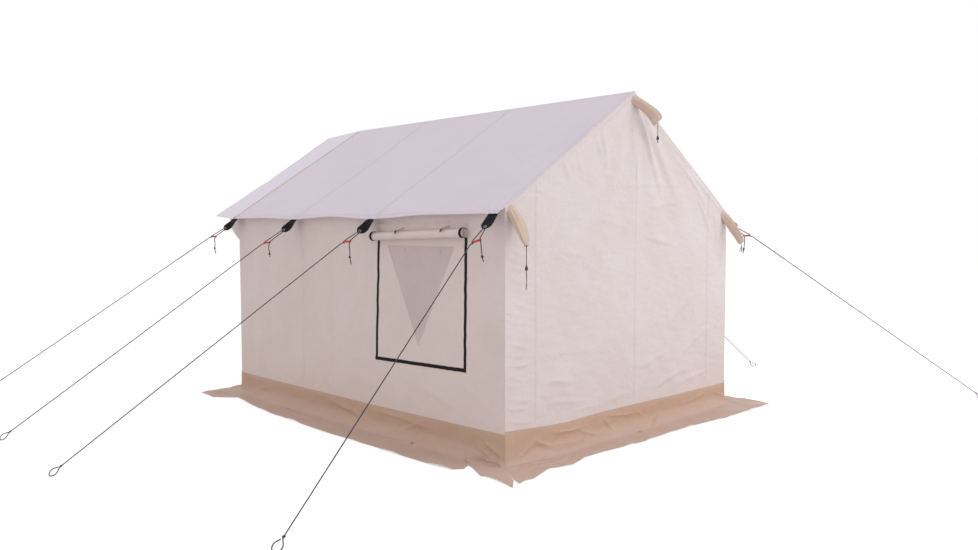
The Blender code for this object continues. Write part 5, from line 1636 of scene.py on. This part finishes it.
def seededCreases(seed, low, high, count):
    draw = np.random.default_rng(seed)
    rows = []
    for number in range(count):
        start = low + (high - low) * (number + draw.uniform(0.1, 0.6)) / count
        long = draw.uniform(0.18, 0.40) * draw.choice((-1, 1))
        down = draw.uniform(0.03, 0.17)
        end = (start + long, down + draw.uniform(0.02, 0.09))
        shape = (draw.uniform(0.013, 0.02), draw.uniform(0.004, 0.009), draw.uniform(-0.01, 0.01))
        rows.append((start, down, *end, *shape))
    return rows


# How far a flap's end runs past its corner at a distance out from the wall.
def cornerRun(out, kind):
    if kind == "door":
        return np.zeros_like(out)
    if kind == "nearSide":
        return np.where(out < 0.14, 1.44 * out, 0.2016 + 0.88 * (out - 0.14))
    if kind == "nearRear":
        return np.where(out < 0.20, 0.665 * out, 0.133 + 0.45 * (out - 0.20))
    return np.maximum(out - gap - skirt["slit"] * out, 0)


def pastCorners(u, out, run):
    return -(1 - u) * cornerRun(out, run["kinds"][0]) + u * cornerRun(out, run["kinds"][1])


# The bend's radius at a place along the run, where the bend starts, and the whole way down.
def skirtDrop(u, run):
    long = run["high"] - run["low"]
    reach = skirt["reach"] + 0 * u
    if run["edge"]:
        reach = np.interp(run["low"] + long * u + pastCorners(u, reach, run), *zip(*run["edge"]))
    soft = ease(u * long / skirt["softRun"]) * ease((1 - u) * long / skirt["softRun"])
    bend = skirt["bend"] + (skirt["softBend"] - skirt["bend"]) * soft
    straight = skirt["band"] - bend
    return bend, straight, straight + bend * math.pi / 2 + reach - bend


# Places on a flap, at shares of its run and lengths down the cloth.
def skirtSurface(u, p, run):
    u, p = np.asarray(u, float), np.asarray(p, float)
    long, seed = run["high"] - run["low"], run["seed"]
    bend, straight, total = skirtDrop(u, run)
    turn = bend * math.pi / 2
    angle = np.clip((p - straight) / bend, 0, math.pi / 2)
    flat = np.maximum(p - straight - turn, 0)
    out = gap + canvas + np.where(p < straight, 0, bend * (1 - np.cos(angle)) + flat)
    z = np.where(p < straight, skirt["band"] - p, bend * (1 - np.sin(angle))) + canvas
    a = run["low"] + long * u
    waver = 0.013
    if run["edge"]:
        waver = 0.003
        z = z + np.interp(a, *zip(*run["top"])) * np.clip(1 - p / straight, 0, 1)

    def along(extra, count, short, most):
        return ripple(a, 0 * a, seed + extra, count, short, most, 0.0, 0.1)

    out = out + ease((p - straight - turn - 0.05) / 0.10) * waver * along(0, 6, 0.06, 0.60)
    # the fold at the ground wanders in and out
    foot = np.exp(-(((p - straight - turn / 2) / 0.05) ** 2))
    out = out + foot * 0.008 * (1 + along(1, 6, 0.15, 0.7))
    place = a + pastCorners(u, out, run)
    lift = creased(a, p, run["creases"])
    ends = ease(u * long / 0.03) * ease((1 - u) * long / 0.03)
    lift = lift + 0.0030 * (1 + ripple(a, p, seed + 2, 9, 0.05, 0.24, 0.9, 0.9)) * ease(p / 0.03)
    lift = lift * ease(p / 0.02) * (0.35 + 0.65 * ends)
    curl = 0.012 * ease((p - total + 0.07) / 0.07) * np.maximum(along(3, 5, 0.12, 0.5), 0)
    return run["place"](place, out + lift * np.cos(angle), z + lift * np.sin(angle) + curl)


def skirtRun(low, high, kinds, seed, rows, place, edge=None, top=None):
    values = (low, high, kinds, seed, rows, place, edge, top)
    return dict(zip(("low", "high", "kinds", "seed", "creases", "place", "edge", "top"), values))


def skirtRuns():
    half, doorSide, far = halfWidth, door["width"] / 2 + 0.03, ("far", "far")
    return {
        "rear": skirtRun(
            -half, half, ("nearRear", "far"), 120, skirt["rearCreases"],
            lambda a, o, z: stacked(a, -halfLength - o, z), skirt["rearEdge"], skirt["rearTop"],
        ),
        "left": skirtRun(
            -halfLength, halfLength, ("nearSide", "far"), 130, skirt["leftCreases"],
            lambda a, o, z: stacked(-half - o, a, z), skirt["leftEdge"], skirt["leftTop"],
        ),
        "right": skirtRun(
            -halfLength, halfLength, far, 140, seededCreases(141, -1.5, 1.4, 12),
            lambda a, o, z: stacked(half + o, a, z),
        ),
        "front_left": skirtRun(
            -half, -doorSide, ("far", "door"), 150, seededCreases(151, -1.2, -0.6, 4),
            lambda a, o, z: stacked(a, halfLength + o, z),
        ),
        "front_right": skirtRun(
            doorSide, half, ("door", "far"), 160, seededCreases(161, 0.55, 1.1, 4),
            lambda a, o, z: stacked(a, halfLength + o, z),
        ),
    }


# A grommet's place on a flap and the way it faces.
def grommetSeat(run, along, deep, outward):
    s = (along - run["low"]) / (run["high"] - run["low"])
    side = skirtSurface(s + 0.004, deep, run) - skirtSurface(s - 0.004, deep, run)
    down = skirtSurface(s, deep + 0.01, run) - skirtSurface(s, deep - 0.01, run)
    facing = unit(np.cross(side, down))
    facing = facing if facing @ outward > 0 else -facing
    return skirtSurface(s, deep, run) + facing * 0.0008, facing


def buildSkirt():
    stitches, rings, facings = [], [], []
    for key, run in skirtRuns().items():
        low, long, place = run["low"], run["high"] - run["low"], run["place"]
        u = np.linspace(0, 1, max(8, round(long / 0.0125)))
        uu, ss = grid(u, np.unique(np.concatenate([np.linspace(0, 0.98, 36), [0.001, 0.991, 1.0]])))
        pp = ss * skirtDrop(uu, run)[2]
        outward = place(0.0, 1.0, 1.0) - place(0.0, 0.0, 0.0)
        points, flat = skirtSurface(uu, pp, run), stacked(low + long * uu, pp)
        mesh = sheetMesh("skirt", points, flat, outward, canvas * 0.8)
        ends = 0.12 * sum(kind != "door" for kind in run["kinds"])
        drops = skirtDrop(np.linspace(0, 1, 60), run)[2]
        flat = (round(long + 2 * ends, 3), round(float(drops.max()), 3))
        area = round((long + ends) * float(drops.mean()), 3)
        addSheet("skirt_" + key, mesh, "skirt", "sod_cloth_" + key)
        share = np.linspace(0.002, 0.998, max(20, round(long / 0.02)))
        inward = skirtSurface(0.5, 0.02, run) - skirtSurface(0.5, 0.25, run)
        proud = unit(-np.array([inward[0], inward[1], 0.0])) * 0.0004
        stitches += [skirtSurface(share, down, run) + proud for down in (0.004, 0.010)]
        edge = skirtDrop(share, run)[2] - 0.012
        stitches.append(skirtSurface(share, edge, run) + np.array([0, 0, 0.0006]))
        for along, deep in skirt["grommets"].get(key, ()):
            centre, facing = grommetSeat(run, along, deep, outward)
            rings.append(centre)
            facings.append(facing)
    addStitches("skirtStitches", stitches, "seam", 14)
    addRings("skirtGrommets", rings, facings, skirt["grommetRadius"], skirt["grommetWire"])


buildGables()
buildSkirt()
print("gables, door and skirt made")

# pole sleeves with their drawcords and locks
sleeves = {
    "ridge": {
        "length": 0.205, "end": (0.44, 0.61, 0.73), "sag": 0.10, "cord": 0.136, "lock": 0.100,
        "upright": True, "widths": (1.0, 1.0, 1.06, 1.12, 1.08, 0.92),
        "flats": (1.0, 0.80, 0.42, 0.30, 0.10),
    },
    "left": {
        "length": 0.235, "end": (0.0, 0.49, 0.83), "sag": 0.06, "cord": 0.245, "lock": 0.1225,
        "upright": False, "widths": (1.0, 1.02, 1.06, 0.80, 0.46, 0.40),
        "flats": (1.0, 0.80, 0.48, 0.42, 0.60),
    },
    "right": {
        "length": 0.235, "end": (0.25, 0.53, 0.90), "sag": 0.06, "cord": 0.065, "lock": None,
        "upright": True, "widths": (1.0, 1.0, 0.92, 0.78, 0.66, 0.42),
        "flats": (1.0, 0.80, 0.50, 0.42, 0.30),
    },
}
drawcord = {
    "radius": 0.0012,
    "entry": 0.006,
    "meets": 0.008,
    "knotShare": 0.88,
    "knotRadius": 0.0013,
    "knotSize": 0.00085,
    "lockLength": 0.026,
    "lockBore": 0.0025,
    "bowRadius": 0.0009,
    "bowSize": 0.0010,
    "bowDrop": 0.028,
}


def sleeveEnd(key):
    x, z, _ = sleeveRoots[key]
    across, out, down = (share * sleeves[key]["length"] for share in sleeves[key]["end"])
    return np.array([x + across, -halfLength - gap - out, z - down])


# One ring of a sleeve, at a share of its length: it leans over, flattens and gathers in pleats.
def sleeveRing(key, t, angle, phases):
    x, z, radius = sleeveRoots[key]
    sleeve, end = sleeves[key], sleeveEnd(key)
    root = np.array([x, -halfLength - gap, z])
    along, bulge = ease(t * 1.02) * 0.35 + t * 0.65, math.sin(math.pi * t)
    centre = root + (end - root) * along + np.array([0, -1.0, 0.25]) * sleeve["sag"] * sleeve["length"] * bulge
    lean = ease(t / 0.8)
    normal = unit(np.array([0, -1.0, 0]) * (1 - lean) + unit(end - root) * lean)
    across = unit(np.cross(np.array([0, 0, 1.0]), normal) if abs(normal[2]) < 0.95 else np.array([1.0, 0, 0]))
    width = radius * np.interp(t, [0, 0.1, 0.45, 0.8, 0.92, 1.0], sleeve["widths"])
    flat = np.interp(t, [0, 0.12, 0.5, 0.85, 1.0], sleeve["flats"])
    gather = np.interp(t, [0, 0.15, 0.6, 0.9, 1.0], [0.0, 0.08, 0.14, 0.18, 0.18])
    pleats = 0.6 * np.cos(7 * angle + phases[0] + 1.4 * t) + 0.4 * np.cos(11 * angle + phases[1] - 1.2 * t)
    fold = 1 + 0.12 * bulge * np.cos(2 * angle + phases[2] + 3.0 * t)
    fold = fold + 0.05 * bulge * np.cos(3 * angle + phases[3] - 5.0 * t)
    reach = width * (1 + gather * pleats) * fold
    sideways, upward = (flat, 1.0) if sleeve["upright"] else (1.0, flat)
    sideways = (reach * sideways * np.cos(angle))[:, None] * across
    return centre + sideways + (reach * upward * np.sin(angle))[:, None] * np.cross(normal, across)


def sleeveMesh(key, seed, steps=44, sides=44):
    angle = 2 * np.pi * np.arange(sides) / sides
    phases = np.random.default_rng(seed).uniform(0, 2 * np.pi, 6)
    points = np.array([sleeveRing(key, t, angle, phases) for t in np.linspace(0, 1, steps)])
    points[..., 1] = np.minimum(points[..., 1], -halfLength - gap)
    off = points - points.mean(axis=1, keepdims=True)
    thin = 0.0012 / np.maximum(np.linalg.norm(off, axis=2, keepdims=True), 0.002)
    inner = points - off * thin
    count = steps * sides
    index = np.arange(count).reshape(steps, sides)
    faces, after = ringQuads(index), np.roll(index, -1, axis=1)
    near = np.stack([after[0], index[0], index[0] + count, after[0] + count], axis=-1)
    far = np.stack([index[-1], after[-1], after[-1] + count, index[-1] + count], axis=-1)
    every = np.concatenate([faces, faces[:, ::-1] + count, near, far])
    mesh = newMesh("sleeve", [points, inner], every.tolist())
    lengths = np.linspace(0, sleeves[key]["length"], steps)
    flat = stacked(np.tile(angle * sleeveRoots[key][2], steps), np.repeat(lengths, sides))
    setFlat(mesh, np.concatenate([flat, flat]))
    return turnedOut(mesh)


def lockMesh(seat):
    bore, half = drawcord["lockBore"], drawcord["lockLength"] / 2
    profile = [
        (bore, half), (0.0048, half), (0.0055, half - 0.0007), (0.0055, half / 3 + 0.0004), (0.0060, half / 3),
        (0.0080, half / 3 - 0.0004), (0.0085, half / 3 - 0.0012), (0.0085, 0.0010), (0.0080, 0.0004),
        (0.0080, -0.0016), (0.0085, -0.0022), (0.0085, -half + 0.0012), (0.0078, -half), (bore, -half),
        (bore, half),
    ]
    return latheMesh("lock", profile, 20, Matrix.Translation(seat))


# One strand, from inside its sleeve's mouth down to its free end.
def strandLine(key, side, knotZ, lockZ):
    end, long, entry = sleeveEnd(key), sleeves[key]["cord"], drawcord["entry"]
    line = []
    for share in np.linspace(0, 1, 26):
        drop = -entry + (long + entry) * share
        spread = 0.0030 * (1 - ease((drop + entry) / drawcord["meets"])) + drawcord["radius"] * 0.98
        below = max(0.0, drop - lockZ - 0.02)
        sway = 0.0022 * math.sin(38 * below + side * 0.6) * min(1, below / 0.02) * (abs(drop - knotZ) >= 0.004)
        if key == "right":
            sway += 0.004 * math.sin(14 * max(drop, 0)) * side * 0.3
        after = max(0.0, drop - knotZ) * 0.22
        line.append(end + np.array([side * (spread + after) + sway, 0.3 * sway, -drop]))
    return line


def buildSleeve(number, key):
    flat = (round(2 * math.pi * sleeveRoots[key][2], 3), sleeves[key]["length"])
    mesh, rests = sleeveMesh(key, 170 + number), ["rear_wall"]
    # the sleeve finish's darker brown is painted shade
    addSheet("poleSleeve_" + key, mesh, "sleeve", "pole_sleeve_" + key)
    end, radius, long = sleeveEnd(key), drawcord["radius"], sleeves[key]["cord"]
    knotZ, lockZ = drawcord["knotShare"] * long, sleeves[key]["lock"] or 0.5 * long
    for side, letter in ((-1, "a"), (1, "b")):
        line, name = strandLine(key, side, knotZ, lockZ), "drawcord_" + key
        cord = addPiece(name + "_" + letter + "_strand", tubeMesh("cord", line, radius), "cord", name)
        if side < 0:
            place = end - np.array([0, 0, knotZ])
            knot = knotMesh(place, (0.1, 0.1, -1), drawcord["knotRadius"], drawcord["knotSize"])
            addPiece("drawcordKnot_" + key, knot, "cord")
        declareCord(line)
    if sleeves[key]["lock"]:
        lock = lockMesh(end - np.array([0, 0, lockZ]))
        addPiece("cordLock_" + key, lock, "black", "cord_lock_" + key, "lock_" + key)


# The right sleeve's cord is tied in a bow close under its mouth.
def buildBow():
    end, radius = sleeveEnd("right") - np.array([0, 0, drawcord["bowDrop"]]), drawcord["bowRadius"]
    t = np.linspace(0, 1, 22)
    for number, side in enumerate((-1, 1)):
        out = side * (0.012 * np.sin(math.pi * t) * (1 + 0.8 * t) + 0.014 * np.sin(2 * math.pi * t))
        loop = end + stacked(out, -0.006 * t * side, 0.004 * side - 0.030 * np.sin(math.pi * t * 0.98))
        bow = addPiece("bowLoop_" + str(number), tubeMesh("bow", loop, radius), "cord")
        declareCord(loop)
    addPiece("bowKnot", knotMesh(end, (0, 0, -1), drawcord["knotRadius"], drawcord["bowSize"]), "cord")


for number, key in enumerate(("ridge", "left", "right")):
    buildSleeve(number, key)
buildBow()

# the pole frame keeps its solids
for name in ("rear_frame", "middle_frame", "front_frame", "ridge_pole", "eave_pole_left", "eave_pole_right"):
    for place in nodes[name].material_slots:
        place.material = finishes["pole"]
print("sleeves and frame made")
